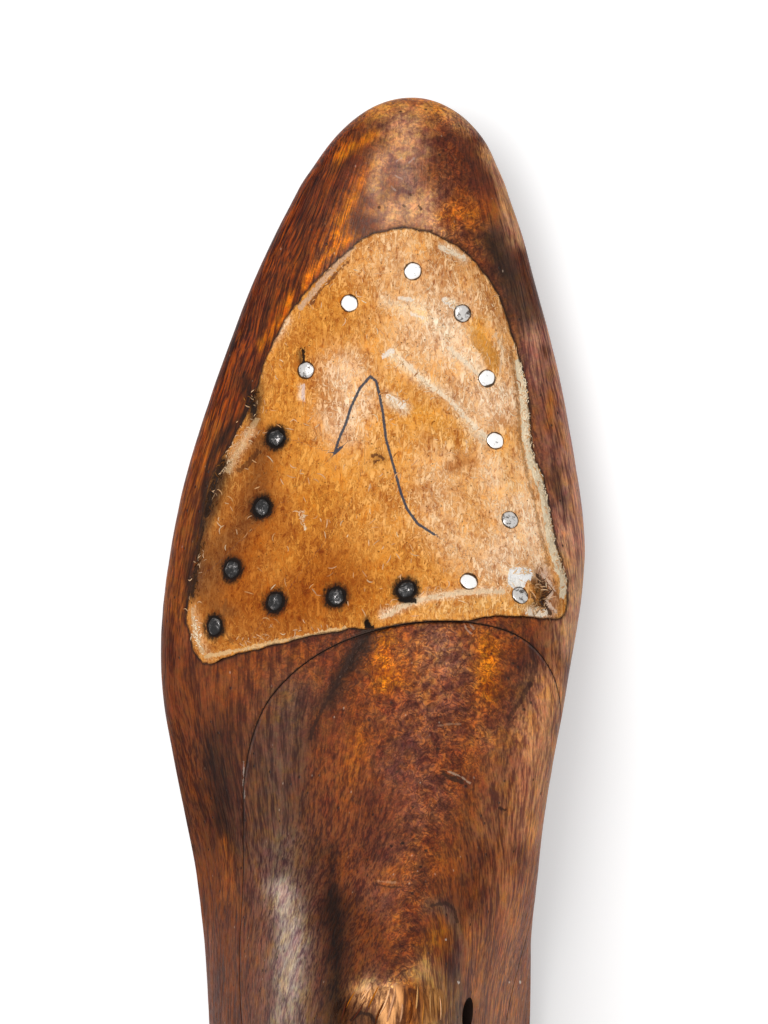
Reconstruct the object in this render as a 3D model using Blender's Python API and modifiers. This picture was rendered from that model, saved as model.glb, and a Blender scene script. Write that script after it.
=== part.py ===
"""A left-foot wooden shoe last for a man's shoe, made in two pieces: the body and the scooped-out
instep block that lifts off it. A leather build-up is tacked over the forepart.

Sizes are in millimetres. The toe points to +Y, the inner side of the foot to +X, and the last
stands on the ball of its sole and the back edge of its heel seat, at Z = 0. Tables along the last
are pairs of (distance from the toe tip, value) and stretch with its length. The scoop's front edge
on the ridge is where the instep block begins, and the leather and the tacks are placed ahead of it.
"""

import math

import bmesh
import bpy
import numpy as np
from mathutils import Matrix, Vector

MM = 0.001
FIT_GAP = 0.3
CUT_CLEARANCE = 3.0

# Overall size of the last and the two ends that its sections close to
LAST_LENGTH = 290.0
TOE_END_X = 8.8
TOE_END_Z = 24.0
HEEL_END_X = 0.0
HEEL_END_Z = 20.0
TOE_ROUND_PLAN = 20.0
TOE_ROUND_SIDE = 12.0
HEEL_ROUND_PLAN = 30.0
HEEL_ROUND_BACK = 35.0
HEEL_ROUND_SEAT = 7.0
PLAN_ROUNDING_POWER = 0.5
TOE_TOP_POWER = 0.45
TOE_SOLE_POWER = 0.25
HEEL_BACK_POWER = 0.65
HEEL_SEAT_POWER = 0.3

# Sole: the height of its middle line, and how far its feather edges stand above that line
SOLE_Z = (
    (0, 18.5), (10, 16.0), (20, 13.3), (35, 9.3), (50, 6.0), (65, 3.4), (80, 1.5), (95, 0.35),
    (108, 0.0), (120, 0.5), (135, 2.2), (150, 4.6), (175, 7.6), (200, 9.0), (215, 8.9),
    (228, 8.0), (250, 4.4), (272, 1.4), (283, 0.0), (290, -0.9),
)
LATERAL_FEATHER_RISE = ((0, 1.0), (60, 1.2), (108, 1.3), (160, 2.0), (215, 1.4), (290, 0.8))
MEDIAL_FEATHER_RISE = ((0, 1.0), (60, 1.2), (108, 1.4), (160, 3.6), (215, 1.6), (290, 0.8))
LATERAL_FEATHER_X = (
    (0, -9.0), (10, -9.5), (20, -13.0), (30, -18.3), (40, -22.8), (53, -27.8), (66, -32.5),
    (80, -36.7), (93, -39.6), (106, -41.3), (120, -41.6), (133, -39.5), (146, -36.0),
    (160, -33.0), (175, -30.5), (190, -29.0), (205, -28.5), (220, -28.8), (240, -29.0),
    (260, -28.6), (290, -28.0),
)
MEDIAL_FEATHER_X = (
    (0, 25.5), (10, 25.4), (20, 27.0), (30, 30.0), (40, 32.3), (53, 35.6), (66, 38.4),
    (80, 40.5), (93, 41.8), (100, 41.6), (106, 40.6), (113, 38.5), (120, 35.5), (130, 30.5),
    (140, 26.0), (150, 22.5), (160, 20.3), (172, 19.5), (185, 20.3), (200, 23.0), (215, 26.0),
    (230, 28.0), (245, 28.8), (260, 28.6), (290, 28.0),
)

# Widest lines of the two sides
LATERAL_WIDE_X = (
    (0, -10.2), (5, -11.0), (10, -12.0), (15, -13.6), (20, -16.2), (30, -21.5), (40, -26.2),
    (53, -31.3), (66.5, -36.2), (80, -40.5), (93, -43.6), (106, -45.8), (116, -46.8),
    (124, -47.0), (133, -46.4), (146, -44.1), (160, -41.4), (170, -39.5), (180, -38.2),
    (190, -37.2), (205, -36.2), (220, -35.0), (245, -33.0), (265, -32.4), (290, -32.0),
)
LATERAL_WIDE_Z = (
    (0, 24.0), (20, 21.0), (50, 16.5), (80, 15.0), (105, 14.0), (125, 14.3), (150, 15.0),
    (161, 13.6), (175, 12.2), (190, 12.6), (204, 15.0), (225, 19.5), (245, 22.0), (290, 20.0),
)
MEDIAL_WIDE_X = (
    (0, 27.0), (5, 27.4), (10, 27.9), (15, 28.4), (20, 29.9), (30, 33.4), (40, 36.1),
    (53, 39.7), (66.5, 42.8), (80, 45.2), (93, 47.0), (100, 47.3), (106, 46.9), (113, 46.0),
    (120, 44.7), (132, 42.3), (145, 39.6), (158, 37.5), (171, 36.2), (184, 35.2), (198, 35.3),
    (215, 34.8), (245, 32.6), (265, 32.2), (290, 32.0),
)
MEDIAL_WIDE_Z = (
    (0, 24.0), (20, 21.5), (50, 18.0), (80, 17.5), (100, 19.0), (112, 22.0), (120, 25.0),
    (130, 31.0), (138, 35.5), (146, 37.5), (158, 37.5), (167, 35.5), (178, 30.5), (190, 23.5),
    (204, 18.5), (225, 19.5), (245, 22.0), (290, 20.0),
)
LOWER_SIDE_STEEPNESS = 0.35
SOLE_LIFT_POWER = 3

# Ridge along the top, carried on above the flat top of the cone
RIDGE_X = (
    (0, 8.8), (20, 8.8), (40, 9.5), (60, 11.0), (80, 13.0), (100, 15.2), (115, 16.0),
    (130, 15.0), (145, 13.2), (160, 11.0), (175, 8.5), (190, 6.2), (205, 5.0), (230, 4.5),
    (260, 2.5), (290, 0.5),
)
RIDGE_Z = (
    (0, 33.5), (8, 35.5), (16, 36.0), (25, 36.0), (38, 35.3), (50, 35.0), (65, 36.0),
    (80, 38.6), (92, 41.8), (105, 46.3), (115, 50.6), (125, 54.8), (135, 59.7), (150, 68.4),
    (160, 75.2), (170, 82.6), (180, 90.2), (187, 95.4), (195, 101.2), (206, 108.0),
    (225, 114.0), (250, 116.0), (290, 114.0),
)

# Roundness of the upper sides: 0 is a straight slope and 0.55 a quarter circle
LATERAL_WALL_ROUNDNESS = (
    (0, 0.55), (50, 0.5), (80, 0.45), (105, 0.38), (122, 0.34), (131, 0.28), (141, 0.18),
    (150, 0.1), (161, 0.03), (175, 0.0), (185, 0.02), (204, 0.06), (240, 0.18), (265, 0.28),
    (290, 0.5),
)
LATERAL_RIDGE_ROUNDNESS = (
    (0, 0.6), (60, 0.55), (100, 0.5), (115, 0.42), (122, 0.34), (141, 0.2), (161, 0.2),
    (180, 0.3), (195, 0.32), (215, 0.2), (240, 0.15), (265, 0.22), (290, 0.6),
)
MEDIAL_WALL_ROUNDNESS = (
    (0, 0.55), (60, 0.55), (100, 0.56), (118, 0.6), (124, 0.57), (134, 0.53), (145, 0.45),
    (160, 0.35), (172, 0.27), (185, 0.14), (195, 0.03), (204, 0.0), (220, 0.12), (240, 0.2),
    (265, 0.28), (290, 0.5),
)
MEDIAL_RIDGE_ROUNDNESS = (
    (0, 0.6), (60, 0.55), (100, 0.56), (118, 0.6), (124, 0.57), (134, 0.5), (150, 0.35),
    (165, 0.28), (180, 0.32), (195, 0.26), (215, 0.2), (240, 0.15), (265, 0.22), (290, 0.6),
)

# Fineness of the lofted surface
STATIONS = 60
SOLE_STEPS = 8
LOWER_SIDE_STEPS = 4
UPPER_SIDE_STEPS = 12

# Flat top of the cone
CONE_TOP_AT = 200.0
CONE_TOP_Z = 94.0
CONE_TOP_FALL = 0.125

# Scoop: the round saw cut that frees the instep block, from the ridge back to the cone top. Its
# ends are shares of the last's length, and its depth is below the straight line between them
SCOOP_FRONT_SHARE = 0.395
SCOOP_REAR_SHARE = 0.845
SCOOP_DEPTH = 34.0
SCOOP_FACETS = 128

# Hook hole across the block, placed as a share of the scoop's length and below the cone top, and
# bored a little askew: its mouth on the inner side is nearer the toe
HOOK_HOLE_SHARE = 0.649
HOOK_HOLE_BELOW_TOP = 22.9
HOOK_HOLE_DIAMETER = 7.0
HOOK_HOLE_SKEW = math.radians(9.2)
HOOK_HOLE_FACETS = 28

# Locating pin, reaching as far into the block as into the body
PIN_SHARE = 0.53
PIN_X = 7.0
PIN_DIAMETER = 5.0
PIN_REACH = 15.0
PIN_CHAMFER = 0.7
PIN_FACETS = 20

# Screw that holds the block down, its head sunk in the cone top
SCREW_AHEAD_OF_REAR = 24.0
SCREW_X = 3.5
SCREW_HEAD_SUNK = 1.2
SCREW_HEAD_DIAMETER = 9.6
SCREW_HEAD_HEIGHT = 3.0
SCREW_RIM = 0.5
SCREW_DIAMETER = 4.8
SCREW_LENGTH = 64.0
SCREW_POINT = 6.0
SCREW_POINT_DIAMETER = 1.2
SCREW_SLOT_WIDTH = 1.2
SCREW_SLOT_DEPTH = 1.4
SCREW_FACETS = 24
THREAD_ROOT_DIAMETER = 3.5
THREAD_PITCH = 2.4
THREAD_LENGTH = 30.0

# Steel thimble for the jack pin, sunk in the cone top between the block and the heel
THIMBLE_BEHIND_REAR = 17.0
THIMBLE_X = 1.2
THIMBLE_BORE = 12.7
THIMBLE_WALL = 1.2
THIMBLE_LENGTH = 43.0
THIMBLE_SUNK = 1.2
THIMBLE_FACETS = 36

# Leather build-up: its edges as smooth curves through (side, distance ahead of the scoop) points
LEATHER_THICKNESS = 2.0
LEATHER_MEDIAL_EDGE = (
    (2.1, 84.6), (10.0, 85), (20.0, 80.5), (27.7, 71.3), (32.0, 58.9), (34.6, 47.7),
    (35.3, 37.5), (38.0, 30), (39.9, 19.5), (41.8, 11.5), (43.0, 7), (41.2, 0.3),
)
LEATHER_REAR_EDGE = (
    (41.2, 0.3), (31.5, 0.6), (19.0, 1), (9.5, 0.4), (-0.4, -1.4), (-14.5, -4.3),
    (-29.0, -8.1), (-36.2, -10.3),
)
LEATHER_LATERAL_EDGE = (
    (-36.2, -10.3), (-39.3, -7.1), (-40.9, 0.5), (-39.4, 10), (-37.6, 20.1), (-35.8, 30.7),
    (-31.1, 38.7), (-26.7, 47.3), (-22.5, 59.3), (-16.5, 69.2), (-9.0, 77.1), (-2.1, 82.7),
    (2.1, 84.6),
)
LEATHER_EDGE_STEPS = 2

# Tacks, as (name, side, distance ahead of the scoop): rusted heads are larger than the bright ones
BRIGHT_TACKS = (
    ("tack_toe", 9.0, 75.5), ("tack_toe_lateral", -4.4, 68.6), ("tack_toe_medial", 19.4, 66.3),
    ("tack_medial_1", 24.6, 52), ("tack_medial_2", 26.3, 38.3),
    ("tack_medial_3", 29.3, 21), ("tack_rear_4", 20.7, 7.7), ("tack_rear_5", 31.2, 4.7),
    ("tack_lateral_1", -13.7, 53.9),
)
RUSTED_TACKS = (
    ("tack_lateral_2", -20.1, 39.1), ("tack_lateral_3", -23.0, 23.9),
    ("tack_lateral_4", -29.3, 10.5), ("tack_lateral_5", -33.0, -1.7),
    ("tack_rear_1", -19.9, 3.4), ("tack_rear_2", -7.0, 4.5), ("tack_rear_3", 7.7, 5.9),
)
BRIGHT_HEAD_DIAMETER = 3.6
RUSTED_HEAD_DIAMETER = 4.2
TACK_HEAD_THICKNESS = 0.7
TACK_HEAD_DOME = 0.25
TACK_HEAD_PROUD = 0.1
TACK_DOME_SHOULDER = 0.6
TACK_DOME_SHOULDER_HEIGHT = 0.7
TACK_SHANK_DIAMETER = 1.5
TACK_POINT_DIAMETER = 0.4
TACK_LENGTH = 9.0
TACK_FACETS = 12

# Surface offsets along the last's own normal
LEATHER_UNDERSIDE = FIT_GAP
LEATHER_TOPSIDE = FIT_GAP + LEATHER_THICKNESS

FLANK_SAMPLES = 200
NORMAL_STEP = 0.5
MERGE_DISTANCE = 0.00001
SHARP_ANGLE = math.radians(32)
COLLECTION = "shoe_last"

# Finishes, as (colour, roughness, metallic)
BODY_WOOD = ((0.30, 0.13, 0.05), 0.35, 0.0)
BLOCK_WOOD = ((0.36, 0.16, 0.06), 0.35, 0.0)
LEATHER = ((0.62, 0.36, 0.16), 0.8, 0.0)
BRIGHT_STEEL = ((0.75, 0.75, 0.74), 0.25, 1.0)
RUSTED_IRON = ((0.06, 0.055, 0.055), 0.55, 1.0)
SCREW_STEEL = ((0.35, 0.33, 0.31), 0.4, 1.0)
PIN_STEEL = ((0.5, 0.5, 0.5), 0.35, 1.0)
THIMBLE_STEEL = ((0.45, 0.44, 0.42), 0.4, 1.0)


def along(table, position):
    """The value of a table at a position, on a smooth curve through its (position, value) pairs."""
    at, value = np.array(table, float).T
    slope = np.gradient(value, at)
    i = int(np.clip(np.searchsorted(at, position, side="right") - 1, 0, len(at) - 2))
    step = at[i + 1] - at[i]
    t = (position - at[i]) / step
    start = (1 + 2 * t) * (1 - t) ** 2 * value[i] + t * (1 - t) ** 2 * step * slope[i]
    end = t * t * (3 - 2 * t) * value[i + 1] + t * t * (t - 1) * step * slope[i + 1]
    return float(start + end)


def value_at(table, s):
    """The value of a table of the last at distance s from the toe. The table ends at the heel."""
    return along(table, s * table[-1][0] / LAST_LENGTH)


def closing(distance, length, power):
    """How much of a section is left at this distance from an end that is rounded over a length."""
    if distance >= length:
        return 1.0
    return (1 - (1 - distance / length) ** 2) ** power


def shrunk(point, s):
    """A section's point, drawn in towards the toe end or the heel end."""
    x, z = point
    if s < LAST_LENGTH / 2:
        plan = closing(s, TOE_ROUND_PLAN, PLAN_ROUNDING_POWER)
        top = closing(s, TOE_ROUND_SIDE, TOE_TOP_POWER)
        sole = closing(s, TOE_ROUND_SIDE, TOE_SOLE_POWER)
        end_x, end_z = TOE_END_X, TOE_END_Z
    else:
        back = LAST_LENGTH - s
        plan = closing(back, HEEL_ROUND_PLAN, PLAN_ROUNDING_POWER)
        top = closing(back, HEEL_ROUND_BACK, HEEL_BACK_POWER)
        sole = closing(back, HEEL_ROUND_SEAT, HEEL_SEAT_POWER)
        end_x, end_z = HEEL_END_X, HEEL_END_Z
    tall = top if z > end_z else sole
    return np.array([end_x + (x - end_x) * plan, end_z + (z - end_z) * tall])


def section_points(s):
    """The corner points of the section at s: the sole's middle, both feather edges, both widest
    points and the ridge."""
    sole = value_at(SOLE_Z, s)
    middle = ((value_at(LATERAL_FEATHER_X, s) + value_at(MEDIAL_FEATHER_X, s)) / 2, sole)
    feather_l = (value_at(LATERAL_FEATHER_X, s), sole + value_at(LATERAL_FEATHER_RISE, s))
    feather_m = (value_at(MEDIAL_FEATHER_X, s), sole + value_at(MEDIAL_FEATHER_RISE, s))
    wide_l = (value_at(LATERAL_WIDE_X, s), value_at(LATERAL_WIDE_Z, s))
    wide_m = (value_at(MEDIAL_WIDE_X, s), value_at(MEDIAL_WIDE_Z, s))
    ridge = (value_at(RIDGE_X, s), value_at(RIDGE_Z, s))
    return [shrunk(p, s) for p in (middle, feather_l, feather_m, wide_l, wide_m, ridge)]


def sole_line(middle, feather_l, feather_m):
    """The sole across the foot: flat in the middle and lifting to both feather edges."""
    t = np.linspace(-1, 1, SOLE_STEPS + 1)
    x = feather_l[0] + (feather_m[0] - feather_l[0]) * (t + 1) / 2
    rise = np.where(t < 0, feather_l[1] - middle[1], feather_m[1] - middle[1])
    return np.stack([x, middle[1] + rise * np.abs(t) ** SOLE_LIFT_POWER], axis=1)


def lower_side(feather, wide):
    """From a feather edge out and up to the widest point."""
    t = np.linspace(0, 1, LOWER_SIDE_STEPS + 1)[:, None]
    bend = np.array([wide[0], feather[1] + LOWER_SIDE_STEEPNESS * (wide[1] - feather[1])])
    return (1 - t) ** 2 * feather + 2 * t * (1 - t) * bend + t * t * wide


def upper_side(wide, ridge, wall, crest, steps):
    """From the widest point up over the side to the ridge."""
    t = np.linspace(0, 1, steps + 1)[:, None]
    above = wide + np.array([0, wall * (ridge[1] - wide[1])])
    beside = ridge + np.array([crest * (wide[0] - ridge[0]), 0])
    rising = (1 - t) ** 3 * wide + 3 * t * (1 - t) ** 2 * above
    return rising + 3 * t * t * (1 - t) * beside + t**3 * ridge


def upper_sides(s, steps):
    """Both upper sides of the section at s, each from its widest point to the ridge."""
    _, _, _, wide_l, wide_m, ridge = section_points(s)
    wall_l = value_at(LATERAL_WALL_ROUNDNESS, s)
    crest_l = value_at(LATERAL_RIDGE_ROUNDNESS, s)
    wall_m = value_at(MEDIAL_WALL_ROUNDNESS, s)
    crest_m = value_at(MEDIAL_RIDGE_ROUNDNESS, s)
    lateral = upper_side(wide_l, ridge, wall_l, crest_l, steps)
    medial = upper_side(wide_m, ridge, wall_m, crest_m, steps)
    return lateral, medial


def section(s):
    """The closed section at s, as (side, height) points."""
    middle, feather_l, feather_m, wide_l, wide_m, _ = section_points(s)
    lateral, medial = upper_sides(s, UPPER_SIDE_STEPS)
    return np.concatenate([
        sole_line(middle, feather_l, feather_m)[:-1],
        lower_side(feather_m, wide_m)[:-1],
        medial[:-1],
        lateral[::-1][:-1],
        lower_side(feather_l, wide_l)[::-1][:-1],
    ])


def stations():
    """Distances from the toe, closer together towards both ends."""
    turn = np.linspace(0, math.pi, STATIONS + 1)[1:-1]
    return LAST_LENGTH * (1 - np.cos(turn)) / 2


def place(x, s, z):
    """A point in the object's frame, in metres."""
    return Vector((x * MM, (LAST_LENGTH / 2 - s) * MM, z * MM))


def last_grid(offset):
    """The last's surface as a grid of points, moved out along its own normal by an offset."""
    distances = stations()
    rings = [section(s) for s in distances]
    grid = np.array([[(x, LAST_LENGTH / 2 - s, z) for x, z in r] for r, s in zip(rings, distances)])
    if not offset:
        return grid
    lengthwise = np.gradient(grid, axis=0)
    around = (np.roll(grid, -1, axis=1) - np.roll(grid, 1, axis=1)) / 2
    normal = np.cross(around, lengthwise)
    normal /= np.linalg.norm(normal, axis=2, keepdims=True)
    centre = grid.mean(axis=1, keepdims=True)
    inward = (normal * (grid - centre)).sum(axis=2).mean() < 0
    return grid + normal * (-offset if inward else offset)


def last_mesh(name, offset):
    """The whole last as one closed mesh, before anything is cut from it."""
    grid = last_grid(offset)
    count, around = grid.shape[:2]
    points = [tuple(p * MM) for p in grid.reshape(-1, 3)]
    toe = len(points)
    points.append(tuple(place(TOE_END_X, -offset, TOE_END_Z)))
    heel = len(points)
    points.append(tuple(place(HEEL_END_X, LAST_LENGTH + offset, HEEL_END_Z)))
    faces = []
    for i in range(around):
        j = (i + 1) % around
        faces.append((toe, i, j))
        faces.append((heel, (count - 1) * around + j, (count - 1) * around + i))
        for k in range(count - 1):
            near, far = k * around, (k + 1) * around
            faces.append((near + i, far + i, far + j, near + j))
    mesh = bpy.data.meshes.new(name)
    mesh.from_pydata(points, [], faces)
    turn_outward(mesh)
    return mesh


def turn_outward(mesh):
    """Point every face of a closed mesh outwards."""
    edit = bmesh.new()
    edit.from_mesh(mesh)
    bmesh.ops.recalc_face_normals(edit, faces=edit.faces)
    edit.to_mesh(mesh)
    edit.free()


def top_height(x, s):
    """The height of the last's upper surface."""
    lateral, medial = upper_sides(s, FLANK_SAMPLES)
    flank = np.concatenate([lateral, medial[::-1][1:]])
    return float(np.interp(x, flank[:, 0], flank[:, 1]))


def top_normal(x, s):
    """The unit normal of the last's upper surface."""
    across = top_height(x + NORMAL_STEP, s) - top_height(x - NORMAL_STEP, s)
    back = top_height(x, s + NORMAL_STEP) - top_height(x, s - NORMAL_STEP)
    return Vector((-across, back, 2 * NORMAL_STEP)).normalized()


def cone_top_height(s):
    """The height of the cone's flat top."""
    return CONE_TOP_Z - CONE_TOP_FALL * (s - CONE_TOP_AT)


def scoop_front():
    """Where the scoop starts on the ridge, as a distance from the toe."""
    return SCOOP_FRONT_SHARE * LAST_LENGTH


def scoop_rear():
    """Where the scoop ends on the cone top, as a distance from the toe."""
    return SCOOP_REAR_SHARE * LAST_LENGTH


def scoop_share(share):
    """The distance from the toe at this share of the way from the scoop's front to its rear."""
    return scoop_front() + share * (scoop_rear() - scoop_front())


def scoop_circle():
    """The scoop's radius, and its axis as (distance from the toe, height): the circle through
    both ends of the cut and its depth below the straight line between them."""
    front = np.array([scoop_front(), value_at(RIDGE_Z, scoop_front())])
    rear = np.array([scoop_rear(), cone_top_height(scoop_rear())])
    chord = rear - front
    length = np.hypot(*chord)
    upward = np.array([-chord[1], chord[0]]) / length
    radius = ((length / 2) ** 2 + SCOOP_DEPTH**2) / (2 * SCOOP_DEPTH)
    return radius, (front + rear) / 2 + upward * (radius - SCOOP_DEPTH)


def scoop_floor(s):
    """The height of the scooped cut."""
    radius, (at, height) = scoop_circle()
    return height - math.sqrt(radius**2 - (s - at) ** 2)


def collection_of(name):
    found = bpy.data.collections.get(name)
    if found is None:
        found = bpy.data.collections.new(name)
        bpy.context.scene.collection.children.link(found)
    return found


def clear():
    for obj in list(bpy.data.objects):
        bpy.data.objects.remove(obj, do_unlink=True)
    for found in list(bpy.data.collections):
        bpy.data.collections.remove(found)


def add_object(name, mesh, collection):
    obj = bpy.data.objects.new(name, mesh)
    collection.objects.link(obj)
    return obj


def add_piece(name, mesh, finish):
    """A piece of the object, with its own material."""
    colour, roughness, metallic = finish
    material = bpy.data.materials.new(name)
    material.use_nodes = True
    shader = material.node_tree.nodes["Principled BSDF"]
    shader.inputs["Base Color"].default_value = (*colour, 1)
    shader.inputs["Roughness"].default_value = roughness
    shader.inputs["Metallic"].default_value = metallic
    mesh.materials.append(material)
    return add_object(name, mesh, collection_of(COLLECTION))


def add_cutter(name, mesh):
    """A helper that cuts and isn't part of the object."""
    obj = add_object(name, mesh, collection_of("cutters"))
    obj.hide_render = True
    obj.display_type = "WIRE"
    return obj


def combine(piece, other, operation):
    modifier = piece.modifiers.new(f"{operation.lower()} {other.name}", "BOOLEAN")
    modifier.operation = operation
    modifier.solver = "EXACT"
    modifier.object = other


def cylinder_mesh(name, radius, depth, facets):
    """A cylinder along Z, centred on its origin."""
    mesh = bpy.data.meshes.new(name)
    edit = bmesh.new()
    bmesh.ops.create_cone(
        edit, cap_ends=True, segments=facets, radius1=radius * MM, radius2=radius * MM,
        depth=depth * MM,
    )
    edit.to_mesh(mesh)
    edit.free()
    return mesh


def turned_mesh(name, profile, facets):
    """A solid turned about Z from (radius, height) points, run from the top down. The first and
    last points lie on the axis."""
    line = bpy.data.meshes.new(name)
    points = [(r * MM, 0, z * MM) for r, z in profile]
    line.from_pydata(points, [(i, i + 1) for i in range(len(points) - 1)], [])
    guide = add_object(name, line, bpy.context.scene.collection)
    turn = guide.modifiers.new("turn", "SCREW")
    turn.steps = facets
    turn.render_steps = facets
    turn.use_merge_vertices = True
    turn.merge_threshold = MERGE_DISTANCE
    graph = bpy.context.evaluated_depsgraph_get()
    mesh = bpy.data.meshes.new_from_object(guide.evaluated_get(graph))
    bpy.data.objects.remove(guide, do_unlink=True)
    return mesh


def edge_points(points):
    """Points on a smooth curve through the given ones, without the last, as (side, distance from
    the toe)."""
    steps = (len(points) - 1) * LEATHER_EDGE_STEPS
    side = [(i, x) for i, (x, _) in enumerate(points)]
    ahead = [(i, distance) for i, (_, distance) in enumerate(points)]
    turns = [i / LEATHER_EDGE_STEPS for i in range(steps)]
    return [(along(side, t), scoop_front() - along(ahead, t)) for t in turns]


def leather_outline():
    """The build-up's outline seen from above, clockwise from the toe end."""
    edges = (LEATHER_MEDIAL_EDGE, LEATHER_REAR_EDGE, LEATHER_LATERAL_EDGE)
    return [point for edge in edges for point in edge_points(edge)]


def prism_mesh(name, outline, bottom, top):
    """A straight prism over an outline of (side, distance) points."""
    edit = bmesh.new()
    base = edit.faces.new([edit.verts.new(place(x, s, bottom)) for x, s in outline])
    raised = bmesh.ops.extrude_face_region(edit, geom=[base])
    walls = [v for v in raised["geom"] if isinstance(v, bmesh.types.BMVert)]
    bmesh.ops.translate(edit, verts=walls, vec=(0, 0, (top - bottom) * MM))
    bmesh.ops.recalc_face_normals(edit, faces=edit.faces)
    mesh = bpy.data.meshes.new(name)
    edit.to_mesh(mesh)
    edit.free()
    return mesh


def cone_top_cutter():
    """The block of space above the flat top of the cone."""
    mesh = bpy.data.meshes.new("above_cone_top")
    edit = bmesh.new()
    bmesh.ops.create_cube(edit, size=LAST_LENGTH * MM)
    bmesh.ops.translate(edit, verts=edit.verts, vec=(0, 0, LAST_LENGTH / 2 * MM))
    edit.to_mesh(mesh)
    edit.free()
    cutter = add_cutter("above_cone_top", mesh)
    cutter.location = place(0, CONE_TOP_AT, CONE_TOP_Z)
    cutter.rotation_euler = (math.atan(CONE_TOP_FALL), 0, 0)
    return cutter


def scoop_cutter(name, grown):
    """The round cut between the block and the body."""
    radius, axis = scoop_circle()
    cutter = add_cutter(name, cylinder_mesh(name, radius + grown, LAST_LENGTH, SCOOP_FACETS))
    cutter.location = place(0, *axis)
    cutter.rotation_euler = (0, math.radians(90), 0)
    return cutter


def post_cutter(name, x, s, bottom, top, diameter, facets):
    """An upright round hole."""
    cutter = add_cutter(name, cylinder_mesh(name, diameter / 2, top - bottom, facets))
    cutter.location = place(x, s, (top + bottom) / 2)
    return cutter


def hook_hole_cutter():
    mesh = cylinder_mesh("hook_hole", HOOK_HOLE_DIAMETER / 2, LAST_LENGTH, HOOK_HOLE_FACETS)
    cutter = add_cutter("hook_hole", mesh)
    at = scoop_share(HOOK_HOLE_SHARE)
    cutter.location = place(0, at, cone_top_height(at) - HOOK_HOLE_BELOW_TOP)
    cutter.rotation_euler = (0, math.radians(90), HOOK_HOLE_SKEW)
    return cutter


def screw_seat():
    """The middle of the screw's head."""
    at = scoop_rear() - SCREW_AHEAD_OF_REAR
    return place(SCREW_X, at, cone_top_height(at) - SCREW_HEAD_SUNK)


def screw_hole_profile():
    """The screw's clearance hole, with its countersink open at the top."""
    head = SCREW_HEAD_DIAMETER / 2 + FIT_GAP
    shank = SCREW_DIAMETER / 2 + FIT_GAP
    top = SCREW_HEAD_SUNK + CUT_CLEARANCE
    seat = -SCREW_RIM - FIT_GAP
    return (
        (0, top), (head, top), (head, seat), (shank, -SCREW_HEAD_HEIGHT - FIT_GAP),
        (shank, -SCREW_LENGTH - FIT_GAP), (0, -SCREW_LENGTH - FIT_GAP),
    )


def thread_profile():
    """The stepped outline of the threaded end, down to the point."""
    crest = SCREW_DIAMETER / 2
    root = THREAD_ROOT_DIAMETER / 2
    start = SCREW_LENGTH - SCREW_POINT - THREAD_LENGTH
    points = []
    for turn in range(int(THREAD_LENGTH / THREAD_PITCH)):
        depth = start + turn * THREAD_PITCH
        points.append((crest, -depth))
        points.append((root, -depth - THREAD_PITCH / 2))
    return points


def make_screw():
    """A slotted countersunk wood screw, its origin at the middle of its head."""
    head = SCREW_HEAD_DIAMETER / 2
    shank = SCREW_DIAMETER / 2
    profile = [(0, 0), (head, 0), (head, -SCREW_RIM), (shank, -SCREW_HEAD_HEIGHT)]
    profile += thread_profile()
    profile += [
        (THREAD_ROOT_DIAMETER / 2, -SCREW_LENGTH + SCREW_POINT),
        (SCREW_POINT_DIAMETER / 2, -SCREW_LENGTH), (0, -SCREW_LENGTH),
    ]
    mesh = turned_mesh("block_screw", profile, SCREW_FACETS)
    screw = add_piece("block_screw", mesh, SCREW_STEEL)
    screw.location = screw_seat()
    slot_mesh = bpy.data.meshes.new("screw_slot")
    edit = bmesh.new()
    bmesh.ops.create_cube(edit, size=1)
    size = (SCREW_HEAD_DIAMETER * 2 * MM, SCREW_SLOT_WIDTH * MM, SCREW_SLOT_DEPTH * 2 * MM)
    bmesh.ops.scale(edit, vec=size, verts=edit.verts)
    edit.to_mesh(slot_mesh)
    edit.free()
    slot = add_cutter("screw_slot", slot_mesh)
    slot.location = screw.location
    combine(screw, slot, "DIFFERENCE")
    return screw


def screw_hole_cutter():
    cutter = add_cutter("screw_hole", turned_mesh("screw_hole", screw_hole_profile(), SCREW_FACETS))
    cutter.location = screw_seat()
    return cutter


def make_pin():
    """The steel pin that stands in the body and enters the block from below."""
    radius = PIN_DIAMETER / 2
    tip = radius - PIN_CHAMFER
    shoulder = PIN_REACH - PIN_CHAMFER
    profile = (
        (0, PIN_REACH), (tip, PIN_REACH), (radius, shoulder), (radius, -shoulder),
        (tip, -PIN_REACH), (0, -PIN_REACH),
    )
    pin = add_piece("locating_pin", turned_mesh("locating_pin", profile, PIN_FACETS), PIN_STEEL)
    at = scoop_share(PIN_SHARE)
    pin.location = place(PIN_X, at, scoop_floor(at))
    return pin


def pin_hole_cutter():
    at = scoop_share(PIN_SHARE)
    bottom = scoop_floor(at) - PIN_REACH - FIT_GAP
    top = scoop_floor(at) + PIN_REACH + FIT_GAP
    diameter = PIN_DIAMETER + 2 * FIT_GAP
    return post_cutter("pin_hole", PIN_X, at, bottom, top, diameter, PIN_FACETS)


def thimble_span():
    """The thimble's distance from the toe and the heights of its bottom and top."""
    at = scoop_rear() + THIMBLE_BEHIND_REAR
    top = cone_top_height(at) - THIMBLE_SUNK
    return at, top - THIMBLE_LENGTH, top


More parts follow.
